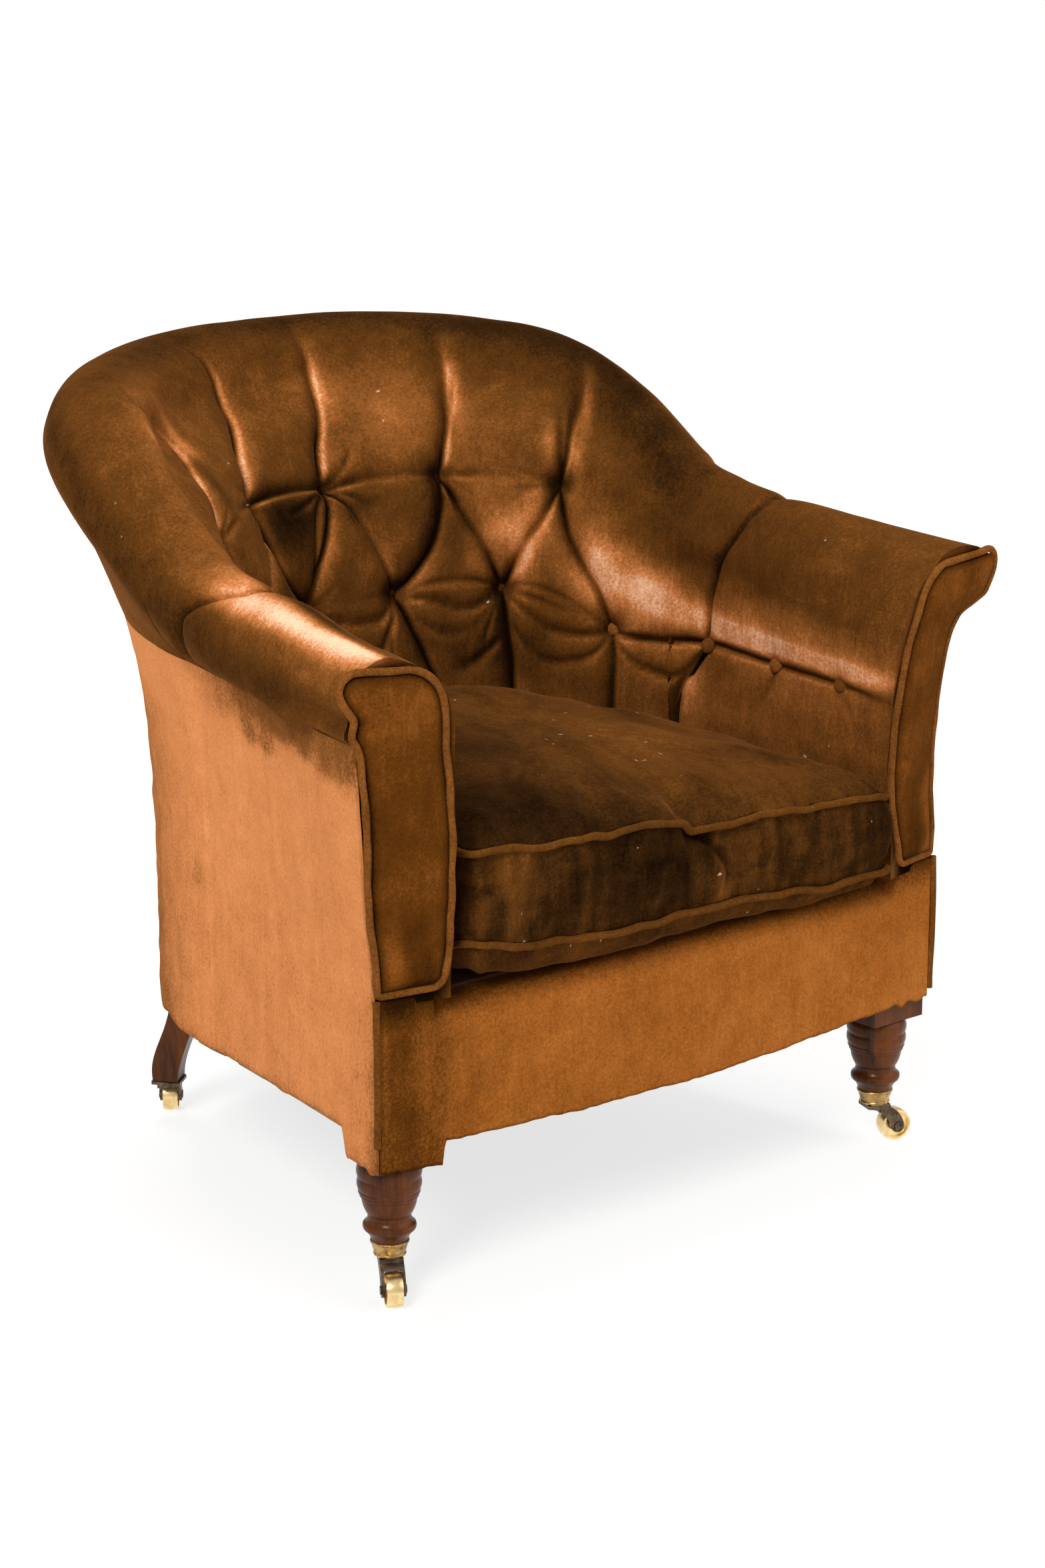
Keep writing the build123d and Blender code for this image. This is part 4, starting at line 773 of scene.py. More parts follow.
def tuftedFace(points, normals, places, rows):
    shape = points.shape[:-1]
    points, normals = points.reshape(-1, 3), normals.reshape(-1, 3)
    random = np.random.default_rng(7)
    power = tuftLook["sharp"]
    # line gathers the painted shade lines along creases, edge the painted highlights beside them
    total, line, edge = (np.zeros(len(points)) for _ in range(3))

    def crease(path, depths, spreads):
        drawn, mark, glint = pinch(points, normals, path, depths, spreads)
        np.maximum(line, mark, out=line)
        np.maximum(edge, glint, out=edge)
        np.add(total, drawn**power, out=total)

    for route, depths, spreads in creases:
        knots = smoothRoute(route, 22)
        crease(padShape(knots[:, 0], knots[:, 1]), np.array(depths) / 1000,
               [s / 1000 * tuftLook["spread"] for s in spreads])
    for place, upper in buttonPlaces:
        row = upperRow if upper else lowerRow
        centre = padShape(place, row)
        depth = tubSize["tuft"] * (1 if upper else float(along("lowerTuft", np.array(place))))
        gap = np.linalg.norm(points - centre, axis=1)
        flat = tuftLook["flat"]
        total += ((depth + .001) * np.exp(-np.maximum(gap - flat, 0) / tuftLook["dimple"]))**power
        # painted shade in a ring round each button
        buttonShade = (tuftLook["buttonShade"] * depth / tubSize["tuft"]
                  * np.exp(-(gap / tuftLook["buttonShadeWide"])**2))
        np.maximum(line, buttonShade, out=line)
        for _ in range(tuftLook["rays"]):  # short gathers round the button
            angle, length = random.uniform(0, 2 * math.pi), random.uniform(.022, .055)
            tip = (place + math.cos(angle) * length / .1, row + math.sin(angle) * length / .055)
            bow = random.uniform(-.06, .06)
            mid = ((place + tip[0]) / 2 + bow, (row + tip[1]) / 2)
            knots = smoothRoute(((place, row), mid, tip), 7)
            share = min(depth / tubSize["tuft"] + .2, 1)
            crease(padShape(knots[:, 0], np.clip(knots[:, 1], 0, 12)),
                   np.array((2.2, 1, 0)) * tuftLook["rayDepth"] * share, (.0035, .0035))
    for side in (-1, 1):
        rowsAlong = np.linspace(.4, 10, 40)
        crease(padShape(seamPlace(rowsAlong, side), rowsAlong), [tuftLook["seam"]] * 3,
               (.02, .0035) if side > 0 else (.0035, .02))
    total = total**(1 / power)
    total = total / (1 + (total / tuftLook["deepest"])**8)**(1 / 8)
    inside = smoothStep(3.5, 6, rows.ravel())
    uneven = tuftLook["unevenness"] * (ripple(points, .11, 3) + .5 * ripple(points, .045, 4))
    swell = tuftLook["swell"] * smoothStep(5, 7, rows.ravel())
    moved = points - normals * (total - swell + uneven * (.2 + .8 * inside))[:, None]
    moved = moved.reshape(*shape, 3)
    turned = gridNormals(moved)
    turned = turned * np.sign((turned * normals.reshape(*shape, 3)).sum(-1, keepdims=True))
    # painted shading: a slope turned towards the light direction gets lighter and one turned away
    # darker, crease edges get painted highlights, and the patches add painted highlights and painted
    # shade to the brushed pile
    slope = evened((turned - normals.reshape(*shape, 3)) @ unit(np.array(napShadingLook["light"])))
    plain = napShadingLook["plain"]
    napAndShading = plain + napShadingLook["litSlope"] * np.clip(slope, -.7, .7) * inside.reshape(shape)
    napAndShading += napShadingLook["edge"] * (edge * (1 - line)).reshape(shape) * np.clip(.7 + 2 * slope, 0, 1.5)
    for place, row, placeReach, rowReach, amount in napShadingPatches:
        napAndShading += amount * np.exp(-((places - place) / placeReach)**2 - ((rows - row) / rowReach)**2)
    napAndShading = plain + napShadingLook["contrast"] * (napAndShading - plain)
    napAndShading = np.where(rows > 5, np.minimum(napAndShading, napShadingLook["brightest"]), napAndShading)
    # painted shade in the deepest creases, joined by the painted shade lines
    foldShade = (.28 * np.clip((total - .01) / .01, 0, 1) + .25 * np.clip((total - .0175) / .006, 0, 1))
    foldShade = np.maximum(foldShade * smoothStep(5, 7, rows.ravel()), line)
    return moved, napAndShading, foldShade.reshape(shape)


settling = {"levels": (.29, .33, .37, .41, .48, .53, .56, .6),
            "sway": (0, 3, 11, 15, 17, 16, 11, 8), "rollShift": .01}


def settled(points):
    # the fronts of both arms have settled towards the left, and the ends of both rolls, above and
    # outside the facings' necks, a little towards the right
    points = np.array(points, float)
    x, y, z = points[..., 0], points[..., 1], points[..., 2]
    sway = np.interp(z, settling["levels"], settling["sway"]) / 1000
    over = smoothStep(-.02, .03, np.abs(x) - tubSize["frontHalf"]) * smoothStep(.545, .565, z)
    points[..., 0] += (settling["rollShift"] * over - sway * (1 - over)) * smoothStep(.24, .02, y)
    return points


def settledFrame(name, node):
    # the arm's hidden timber follows the settled arm, so it never shows through the cover
    source, grown = nodes[node], bmesh.new()
    grown.from_mesh(source.data)
    grown.transform(source.matrix_world)
    bmesh.ops.subdivide_edges(grown, edges=grown.edges[:], cuts=5, use_grid_fill=True)
    grown.verts.index_update()
    points = settled(np.array([v.co[:] for v in grown.verts]))
    faces = [[v.index for v in face.verts] for face in grown.faces]
    grown.free()
    piece = meshPiece(name, points, faces, frameBeech, crisp=40)
    fitted(piece, "chair_frame", node)


for side in ("Left", "Right"):
    for word in ("Post", "Rail"):
        settledFrame(f"arm{word}{side}", f"arm_{word.lower()}_{side.lower()}")


def padPiece(name, first, last, columns, rowsPerPoint=26):
    # first and last give the place of each row's ends; the back of the pad is closed on the frame
    rows = np.linspace(0, 12, 12 * rowsPerPoint + 1)
    start, end = first(rows), last(rows)
    share = np.linspace(0, 1, columns)
    places = start[:, None] + (end - start)[:, None] * share[None, :]
    rowGrid = rows[:, None] + 0 * places
    base = padShape(places, rowGrid)
    normals = gridNormals(base)
    outwardX = base[..., 0] * normals[..., 0] + (base[..., 1] - tubSize["centre"]) * normals[..., 1]
    if outwardX[len(rows) * 3 // 4].mean() > 0:
        normals = -normals
    face, napAndShading, foldShade = tuftedFace(base, normals, places, rowGrid)
    footPlaces, neckPlaces = places[-1], places[0]
    neckLevel = neck(neckPlaces)[1]
    railOut = .002 + .011 * along("rise", neckPlaces)
    foot = inSpace(footPlaces, -tubSize["railFoot"], tubSize["seatLevel"])
    shelf = inSpace(neckPlaces, railOut - .0275, neckLevel + .0003)
    ring = settled(np.concatenate([face, foot[None], shelf[None]]))
    faces = gridFaces(len(ring), columns, closeRows=True) + endFaces(len(ring), columns)
    pad = np.zeros((2, columns))
    return meshPiece(name, ring, faces, insideVelvet, {
        "napAndShading": np.concatenate([napAndShading, pad]), "foldShade": np.concatenate([foldShade, pad + 1])})


def rightFront(rows):
    return frontPlace(padShape, rows)


tuckedIn = .03  # each arm's stuffing starts a little behind the seam
backPiece = padPiece("tuftedBack", lambda r: seamPlace(r, -1), lambda r: seamPlace(r, 1), 480)
rightArm = padPiece("rightArmPad", lambda r: seamPlace(r, 1) - tuckedIn, rightFront, 150)
leftArm = padPiece("leftArmPad", lambda r: -rightFront(r),
                   lambda r: seamPlace(r, -1) + tuckedIn, 160)
for piece, node, fill in ((backPiece, "back_pad", .8), (rightArm, "arm_pad_right", .85),
                          (leftArm, "arm_pad_left", .85)):
    fitted(piece, "chair_frame", node)
print("tufted inside made")

# Buttons: cloth drawn over a domed mould

buttonLook = {"sink": .001, "deepSink": .003, "ring": 28, "profile": (
    (0, .0062), (.0024, .006), (.0047, .0053), (.0065, .0041), (.0077, .0027), (.0081, .0012),
    (.0077, .0001), (.0064, -.0007), (0, -.0009))}
points, faces, buttonNapAndShade = [], [], []
random = np.random.default_rng(11)
for place, upper in buttonPlaces:
    centre, normal = buttonSpot(np.array(float(place)), upper)
    drawn = upper or abs(place) < 2
    centre = settled(centre - normal * buttonLook["deepSink" if drawn else "sink"])
    across = unit(np.cross(normal, (0, 0, 1)))
    lift = np.cross(normal, across)
    turn = np.linspace(0, 2 * math.pi, buttonLook["ring"], endpoint=False)
    start = len(points)
    for radius, height in buttonLook["profile"]:
        gathers = 1 + .015 * np.sin(turn * 7 + random.uniform(0, 6)) * (radius > .006)
        for angle, pull in zip(turn, gathers):
            points.append(centre + normal * height
                          + radius * pull * (math.cos(angle) * across + math.sin(angle) * lift))
    faces += gridFaces(len(buttonLook["profile"]), buttonLook["ring"], closeColumns=True,
                       start=start)
    # buttons drawn deep into their tufts are toned darker as painted shade, the rest a mid tone, each
    # a little uneven
    buttonNapAndShade += [(.26 if drawn else .5) + .05 * random.uniform(-1, 1)] * (len(points) - start)
buttons = meshPiece("coveredButtons", points, faces, buttonVelvet,
                    {"napAndShading": buttonNapAndShade, "foldShade": np.zeros(len(points))})
fitted(buttons, "chair_frame", "tuft_buttons")
print("buttons made")

# Outside covers: flat velvet panels that flare out to the neck under the roll

coverLook = {"thick": .0035, "flareStart": .34, "flare": 2.66, "seam": 1.3, "rows": 90,
             "wave": .0007, "seamPinch": .0016, "hemPinch": .0012, "tall": .377,
             "cornerGap": .0035, "drop": .0265, "hemWave": .0012, "fray": .0016}
coverTone = {"plain": .53, "rising": .06, "frontEdge": .2, "lowBack": .2, "streak": .012}
# how far each is drawn down over the leg block, how much painted shadow falls under the roll, and how
# stained
coverDropShadeStain = {"outsideRight": (.35, .1, 0), "outsideLeft": (1, .33, .12),
             "outsideBack": (.35, .1, 0)}


def coverShape(place, share, inset=0):
    neckReach, neckLevel = neck(place)
    rise = neckLevel - tubSize["hem"]
    s = np.clip((share - coverLook["flareStart"]) / (1 - coverLook["flareStart"]), 0, 1)
    return inSpace(place, neckReach * s**coverLook["flare"] - inset, tubSize["hem"] + rise * share)


def coverFront(share):
    # above the facing's foot the panel ends at the facing, below it at the corner piping
    level = tubSize["hem"] + share * coverLook["tall"]
    turn = math.radians(facing["turn"])
    low = placeWhere(coverShape, share, 5.2, np.array((tubSize["frontHalf"], 0, 0)),
                     np.array((math.sin(turn), -math.cos(turn), 0)), coverLook["cornerGap"])
    return np.where(level > facing["foot"] - .004, frontPlace(coverShape, share), low)


def coverPiece(name, first, last, columns, node):
    share = np.linspace(0, 1, coverLook["rows"])
    start, end = first(share), last(share)
    places = start[:, None] + (end - start)[:, None] * np.linspace(0, 1, columns)[None, :]
    shares = share[:, None] + 0 * places
    outer = coverShape(places, shares)
    inner = coverShape(places, shares, coverLook["thick"])
    away = unit(outer - inner)
    seam = np.exp(-np.abs(np.abs(places) - coverLook["seam"]) / .02)
    hem = np.exp(-shares * coverLook["tall"] / .004)
    wave = coverLook["wave"] * (ripple(outer * (1, 1, .4), .09, 21) + .6 * ripple(outer, .03, 22))
    outer = outer + away * (wave - coverLook["seamPinch"] * seam
                            - coverLook["hemPinch"] * hem)[..., None]
    # at the front the panel is drawn down over the leg block, and frays a little along its hem
    drawnDown, rollShadeAmount, stained = coverDropShadeStain[name]
    over = smoothStep(.066, .056, outer[0, :, 1]) * drawnDown
    drop = (coverLook["drop"] * over + coverLook["hemWave"] * ripple(outer[0], .05, 23)
            + coverLook["fray"] * over * ripple(outer[0], .012, 24))
    for sheet in (outer, inner):
        sheet[..., 2] -= drop * smoothStep(.19, .163, sheet[..., 2])
    ring = settled(np.concatenate([outer, inner[::-1]]))
    faces = gridFaces(len(ring), columns, closeRows=True) + endFaces(len(ring), columns)
    y, level = outer[..., 1], outer[..., 2]
    # painted shadow under the roll: a darker band with a ragged upper edge just below the roll,
    # strongest at the front
    rollShadeEdge = level + .008 * ripple(outer, .04, 25) + .002 * ripple(outer, .012, 26)
    rollShade = rollShadeAmount * smoothStep(.34, .2, y)
    napAndShading = (coverTone["plain"] + coverTone["rising"] * smoothStep(.16, .5, level)
           - rollShade * smoothStep(.482, .522, rollShadeEdge))
    frontEdge = np.exp(-np.maximum(y, 0) / .012) * smoothStep(.36, .24, level)
    lowBack = smoothStep(.3, .5, y) * smoothStep(.52, .46, level)
    napAndShading = napAndShading - coverTone["frontEdge"] * frontEdge - coverTone["lowBack"] * lowBack
    napAndShading = napAndShading + coverTone["streak"] * ripple(outer * (1, 1, .12), .03, 27)
    stain = np.hypot((y - .33) / .012, (level - .33) / .016)
    napAndShading = napAndShading - stained * np.exp(-stain**2)
    # painted shade along the hem and the seam
    foldShade = .25 * hem + .3 * seam
    marks = {"napAndShading": np.concatenate([napAndShading, napAndShading[::-1]]), "foldShade": np.concatenate([foldShade, foldShade[::-1]])}
    piece = meshPiece(name, ring, faces, outsideVelvet, marks, crisp=60)
    fitted(piece, "chair_frame", node)


seamAt = coverLook["seam"]
coverPiece("outsideRight", lambda s: seamAt + 0 * s, coverFront, 150, "outside_arm_cover_right")
coverPiece("outsideLeft", lambda s: -coverFront(s), lambda s: -seamAt + 0 * s, 150,
           "outside_arm_cover_left")
coverPiece("outsideBack", lambda s: -seamAt + 0 * s, lambda s: seamAt + 0 * s, 120,
           "outside_back_cover")
print("outside covers made")

# Front border: a bowed velvet panel with a padded roll under the cushion

borderLook = {"bow": .017, "hem": .15, "hemRise": .011, "half": .345, "rollHalf": .286,
              "rollBack": .0245, "rollTop": .284, "rollFront": .256, "top": .299, "lip": .2355,
              "rollReach": .026, "rollRise": .028, "columns": 320, "wrap": .0235, "rightHem": .004,
              "wave": .0011, "smallWave": .0006, "pull": .0018}


def borderFront(x):
    return -borderLook["bow"] * (1 - (x / tubSize["frontHalf"])**2)


def borderPath(front, hem, roll):
    # a line down the border, either over its roll or over its flat end in front of the arm
    back, high, low = borderLook["rollBack"], borderLook["rollTop"], borderLook["rollFront"]
    turn = np.linspace(0, math.pi / 2, 14)[1:-1]
    reach, rise = borderLook["rollReach"], borderLook["rollRise"]
    if roll:
        lip = [(back, borderLook["lip"]), (back, high)]
        bend = [(front + reach - reach * math.sin(a), low + rise * math.cos(a)) for a in turn]
        over = [(back * (1 - k) + (front + reach) * k, high) for k in (.35, .7, 1)]
    else:
        top = borderLook["top"]
        lip = [(front + .005, borderLook["lip"]), (front + .005, top)]
        over = [(front + .003, top + .0004), (front + .0015, top), (front, .297)]
        bend = [(front, .297 - .041 * (k + 1) / 13) for k in range(12)]
    fall = [(front, z) for z in np.linspace(low, hem, 46)]
    return np.array([*lip, *over, *bend, *fall, (front + .0008, hem - .0012),
                     (front + .004, hem - .001), (front + .005, hem + .003)])


xs = np.linspace(-borderLook["half"], borderLook["half"], borderLook["columns"])
lines = []
for x in xs:
    front = borderFront(x)
    hem = borderLook["hem"] + borderLook["hemRise"] * (x / tubSize["frontHalf"])**2
    hem -= (borderLook["wrap"] * smoothStep(-.277, -.2795, x)
            + borderLook["rightHem"] * smoothStep(.29, .31, x))
    share = float(smoothStep(borderLook["rollHalf"] - .004, borderLook["rollHalf"] + .004, abs(x)))
    path = borderPath(front, hem, True) * (1 - share) + borderPath(front, hem, False) * share
    lines.append(np.column_stack([np.full(len(path), x), path]))
border = np.array(lines).transpose(1, 0, 2)
x, level = border[..., 0], border[..., 2]
shown = smoothStep(.1, .2, level) * (border[..., 1] < .02)
edgeFade = smoothStep(.345, .3, np.abs(x))
wave = (borderLook["wave"] * ripple(border * (1, 1, .35), .07, 31)
        + borderLook["smallWave"] * ripple(border, .03, 32)) * edgeFade
pull = (borderLook["pull"] * np.exp(-np.maximum(level - tubSize["hem"], 0) / .03)
        * np.sin(x * 95 + 1.3))
border[..., 1] -= (wave + pull * edgeFade) * shown
hemRow = np.exp(-np.maximum(level - level.min(0), 0) / .02)
torn = smoothStep(.27, .3, np.abs(x))
border[..., 2] += hemRow * (.0008 * ripple(border * (1, 0, 0), .09, 33)
                            + (.0003 + .0016 * torn) * ripple(border * (1, 0, 0), .014, 34))
# the border's tone: darker and streaked at the left end, lighter near the middle right and at the
# right end, and painted shade on the top, where it rolls in under the cushion
leftEnd = smoothStep(-.19, -.345, x)
streaks = ripple(border * (1, 0, .08), .035, 36)
napAndShading = (.5 + .03 * ripple(border, .16, 35) - .2 * leftEnd + .07 * leftEnd * streaks
       + .05 * hump(x, .17, .1)
       + .05 * smoothStep(.23, .33, x) - .3 * smoothStep(.262, .3, level))
faces = gridFaces(len(border), len(xs), closeRows=True) + endFaces(len(border), len(xs))
# painted shade along the bottom of the turned hem
marks = {"napAndShading": napAndShading, "foldShade": .22 * (level < level.min(0) + .003)}
borderPiece = meshPiece("frontBorder", border, faces, borderVelvet, marks, crisp=70)
fitted(borderPiece, "chair_frame", "front_border")
print("front border made")

# Facings: a velvet panel, slightly padded, inside a piped edge

facingLook = {
    "inset": .0072, "bulge": .0048, "front": .0005, "sunk": .0022, "back": -.0125, "around": 240,
    "piping": .0035, "pipingInset": .0034, "pipingAround": 300,
    "boardInset": .0075, "board": (-.0073, -.0137), "boardAround": 120,
    "spine": ((.3, .43, .5, .56, .6), (-.036, -.038, -.038, -.026, -.012)),
    "spineEnds": (.335, .575), "rings": (0, .04, .09, .16, .25, .36, .5, .65, .82, 1),
}
cornerLook = {"place": .349, "low": .163, "high": .3, "radius": .0034, "points": 60}
# the facing's outline in its own plane: up the outer edge, round the head, down the inner edge
facingFoot = ((0, .301), (0, .43))
facingArcs = ((.008, .525), (.024, .551), (.05, .582), (.033, .61), (-.025, .61), (-.069, .575),
              (-.086, .46), (-.073, .325))


def arcThrough(start, heading, end, count=14):
    # points of the arc that leaves start along heading and comes to end
    start, heading, end = np.array(start), unit(np.array(heading, float)), np.array(end)
    chord = end - start
    side = np.array((-heading[1], heading[0]))
    bow = chord @ side
    if abs(bow) < 1e-7:
        return [start + chord * k / count for k in range(1, count + 1)], unit(chord)
    radius = (chord @ chord) / (2 * bow)
    centre = start + side * radius
    first = math.atan2(*(start - centre)[::-1])
    angle = 2 * math.atan2(bow, chord @ heading)
    spots = [centre + abs(radius) * np.array((math.cos(first + angle * k / count),
                                             math.sin(first + angle * k / count)))
             for k in range(1, count + 1)]
    cosine, sine = math.cos(angle), math.sin(angle)
    return spots, np.array((heading[0] * cosine - heading[1] * sine,
                            heading[0] * sine + heading[1] * cosine))


def rounded(points, index, radius, count=8):
    before, corner, after = points[index - 1], points[index], points[(index + 1) % len(points)]
    a, b = unit(before - corner), unit(after - corner)
    half = math.acos(np.clip(a @ b, -1, 1)) / 2
    start, end = corner + a * radius / math.tan(half), corner + b * radius / math.tan(half)
    centre = corner + unit(a + b) * radius / math.sin(half)
    spots = []
    for k in range(count + 1):
        t = k / count
        spots.append(centre + radius * unit((start - centre) * (1 - t) + (end - centre) * t))
    return points[:index] + spots + points[index + 1:]


outline = [np.array(spot) for spot in facingFoot]
heading = np.array((0, 1.))
for place, end in enumerate(facingArcs):
    if place == 4:  # the head's straight top
        outline.append(np.array(end))
        heading = np.array((-1., 0))
    else:
        spots, heading = arcThrough(outline[-1], heading, end)
        outline += spots
outline.append(np.array((-.07, .304)))
outline = rounded(outline, len(outline) - 1, .018)
outline = rounded(outline, 0, .006)
outline = np.array(outline)


def evenly(loop, count):
    closed = np.vstack([loop, loop[:1]])
    run = np.concatenate([[0], np.cumsum(np.linalg.norm(np.diff(closed, axis=0), axis=1))])
    spots = np.linspace(0, run[-1], count, endpoint=False)
    return np.stack([np.interp(spots, run, closed[:, k]) for k in range(closed.shape[1])], -1)


def drawnIn(loop, inset):
    # the loop moved in by an inset, measured square to its edge
    ahead = unit(np.roll(loop, -1, 0) - np.roll(loop, 1, 0))
    inward = np.stack([-ahead[:, 1], ahead[:, 0]], -1)
    area = (loop[:, 0] * np.roll(loop[:, 1], -1) - np.roll(loop[:, 0], -1) * loop[:, 1]).sum()
    return loop + inward * inset * (1 if area > 0 else -1)


def gapTo(points, loop):
    best = np.full(len(points), farAway)
    for a, b in zip(loop, np.roll(loop, -1, 0)):
        step = b - a
        t = np.clip((points - a) @ step / max(step @ step, 1e-12), 0, 1)
        best = np.minimum(best, np.linalg.norm(points - a - t[:, None] * step, axis=1))
    return best


def onFacing(flat, ahead, side):
    flat, ahead = np.asarray(flat, float), np.asarray(ahead, float)
    point = (facingStart + flat[..., :1] * facingOut + flat[..., 1:2] * facingUp
             + ahead[..., None] * facingAhead)
    return settled(point if side > 0 else point * mirror)


def facingPiece(word, side):
    # rings from the edge towards the middle line of the panel
    spine = np.stack([np.interp(panelEdge[:, 1], *facingLook["spine"]),
                      np.clip(panelEdge[:, 1], *facingLook["spineEnds"])], -1)
    flat = np.array([panelEdge * (1 - k) + spine * k for k in facingLook["rings"]])
    gap = gapTo(flat.reshape(-1, 2), panelEdge).reshape(flat.shape[:2])
    rise = facingLook["bulge"] * (1 - np.exp(-gap / .009))
    space = onFacing(flat, np.zeros(flat.shape[:2]), side)
    uneven = .0006 * ripple(space, .05, 41) * smoothStep(0, .012, gap)
    face = onFacing(flat, facingLook["front"] - facingLook["sunk"] + rise + uneven, side)
    rear = onFacing(flat[:1], np.full((1, len(panelEdge)), facingLook["back"]), side)
    space = np.concatenate([rear, face])
    faces = gridFaces(len(space), len(panelEdge), closeColumns=True)
    faces.append(list(range(len(panelEdge)))[::-1])
    level = space[..., 2]
    u = np.concatenate([flat[:1], flat])[..., 0]
    dark = smoothStep(.43, .33, level) * (hump(u, -.04, .01)
                                          + .7 * np.exp(-((u + .056 - .01 * level) / .006)**2))
    napAndShading = (.5 - .14 * dark + .05 * smoothStep(.5, .58, level) + .025 * ripple(space, .09, 42)
           + .1 * hump(u, -.018, .01) * smoothStep(.42, .33, level))
    # painted shade along the piped edge
    foldShade = .55 * np.exp(-np.concatenate([gap[:1], gap]) / .003)
    return meshPiece("facing" + word, space, faces, facingVelvet, {"napAndShading": napAndShading, "foldShade": foldShade},
                     crisp=80)


def boardPiece(word, side):
    count = facingLook["boardAround"]
    edge = evenly(drawnIn(outline, facingLook["boardInset"]), count)
    ends = [onFacing(edge, np.full(count, depth), side) for depth in facingLook["board"]]
    faces = gridFaces(2, count, closeColumns=True) + capFaces(2, count)
    return meshPiece("facingBoard" + word, np.array(ends[::-1]), faces, frameBeech, crisp=40)


def facingCord(word, side):
    edge = evenly(drawnIn(outline, facingLook["pipingInset"]), facingLook["pipingAround"])
    path = onFacing(edge, np.full(len(edge), -facingLook["piping"] + .0006), side)
    path = path + .0004 * np.stack([ripple(path, .05, 43 + k) for k in range(3)], -1)
    thick = facingLook["piping"] * (1 + .05 * ripple(path, .03, 46))
    return cordPiece("facingPiping" + word, path, thick, pipingVelvet, closed=True, napAndShading=.42)


def cornerCord(word, side):
    count = cornerLook["points"]
    levels = np.linspace(cornerLook["low"], cornerLook["high"], count)
    post = np.stack([np.full(count, side * cornerLook["place"]), np.zeros(count), levels], -1)
    post[:, 0] += .0005 * ripple(post, .05, 47)
    post[:, 1] += .0006 * ripple(post, .06, 48)
    return cordPiece("cornerPiping" + word, post, cornerLook["radius"], pipingVelvet, napAndShading=.38)


outline = evenly(outline, facingLook["around"])
panelEdge = evenly(drawnIn(outline, facingLook["inset"]), facingLook["around"])
for side, word in ((1, "Right"), (-1, "Left")):
    for make, slot, node, fill in (
            (facingPiece, "velvet_border", "facing_cover_", .5),
            (boardPiece, "frame_wood", "facing_board_", None),
            (facingCord, "piping", "facing_piping_", 1),
            (cornerCord, "piping", "corner_piping_", 1)):
        fitted(make(word, side), "chair_frame", node + word.lower())
print("facings made")

# Loose cushion: crowned top, piped border and a soft underside

cushionLook = {
    "half": .2625, "front": -.029, "back": .4405, "sideEnd": .24, "shoulder": .06, "corner": .016,
    "lowSeam": .318, "highSeam": .405, "around": 840, "notch": .004, "tuck": .0038,
    "cord": .0035, "leans": ((.2925, .5), (.318, 2.2), (.405, 4.5)),
    "middle": (0, .2), "notchDeep": .0105, "notchIn": .006, "cornerUp": .014, "overhang": .006,
    "creaseDeep": .0065, "swell": .019, "trough": .005, "crush": (.0022, .0011),
    "uneven": (.0024, .001),
}


def cushionOutline(count):
    half, back, front = cushionLook["half"], cushionLook["back"], cushionLook["front"]
    end, shoulder, corner = cushionLook["sideEnd"], cushionLook["shoulder"], cushionLook["corner"]
    depth = back - end
    wide = ((half - shoulder)**2 + depth**2 - shoulder**2) / (2 * depth - 2 * shoulder)
    middle = back - wide
    turn = math.atan2(end - middle, half - shoulder)
    side = [(half - shoulder + shoulder * math.cos(a), end + shoulder * math.sin(a))
            for a in np.linspace(0, turn, 12)]
    rear = [(wide * math.cos(a), middle + wide * math.sin(a))
            for a in np.linspace(turn, math.pi / 2, 20)[1:]]
    lip = [(half - corner + corner * math.cos(a), front + corner + corner * math.sin(a))
           for a in np.linspace(-math.pi / 2, 0, 8)]
    right = np.array(lip + side + rear)
    left = right[::-1][1:] * (-1, 1)
    return evenly(np.vstack([right, left]), count)


cushionEdge = cushionOutline(cushionLook["around"])
middle = np.array(cushionLook["middle"])


def cushionLean(level):
    levels, degrees = zip(*cushionLook["leans"])
    return np.tan(np.radians(np.interp(level, levels, degrees)))


def seamSway(edge, seed):
    # a sewn seam isn't straight: it wanders in plan and in height
    spots = np.column_stack([edge, np.zeros(len(edge))])
    return (.0016 * ripple(spots, .09, seed) + .0007 * ripple(spots, .035, seed + 1),
            .0022 * ripple(spots, .11, seed + 2) + .0008 * ripple(spots, .04, seed + 3))


swayPlan, swayHigh = seamSway(cushionEdge, 51)
lowPlan, swayLow = seamSway(cushionEdge, 61)
front = hump(cushionEdge[:, 1], -.029, .03)
fromNotch = cushionEdge[:, 0] - cushionLook["notch"]
dimple = front * np.where(fromNotch < 0, np.exp(-(fromNotch / .011)**2), np.exp(-fromNotch / .03))
swayHigh = swayHigh - cushionLook["notchDeep"] * dimple + .002 * front * hump(fromNotch, -.03, .03)
swayPlan = swayPlan + cushionLook["notchIn"] * dimple
corner = front * smoothStep(-.19, -.262, cushionEdge[:, 0])
swayLow = swayLow + cushionLook["cornerUp"] * corner

crown = ((0, 0), (.006, .006), (.014, .0115), (.03, .0195), (.06, .0285), (.1, .0365), (.15, .042),
         (.24, .046))
under = ((0, 0), (.008, -.013), (.02, -.022), (.04, -.0255), (.3, -.0255))
inward = drawnIn(cushionEdge, 1) - cushionEdge
shares = [0, .012, .028, .05, .08, .12, .17, .23, .3, .38, .47, .57, .68, .79, .9, .97]
loops, creased = [], []
for share in reversed(shares):  # the underside, from its middle out to the lower seam
    base = cushionEdge + inward * cushionLook["tuck"]
    flat = middle + (base - middle) * (1 - share)
    gap = gapTo(flat, base)
    drop = np.interp(gap, *zip(*under))
    overhang = smoothStep(.012, -.012, flat[:, 1]) * smoothStep(0, .012, gap)
    height = (cushionLook["lowSeam"] + drop - cushionLook["overhang"] * overhang
              + swayLow * (1 - smoothStep(0, .06, gap)))
    loops.append((flat, height, np.full(len(flat), cushionLook["lowSeam"]) + drop))
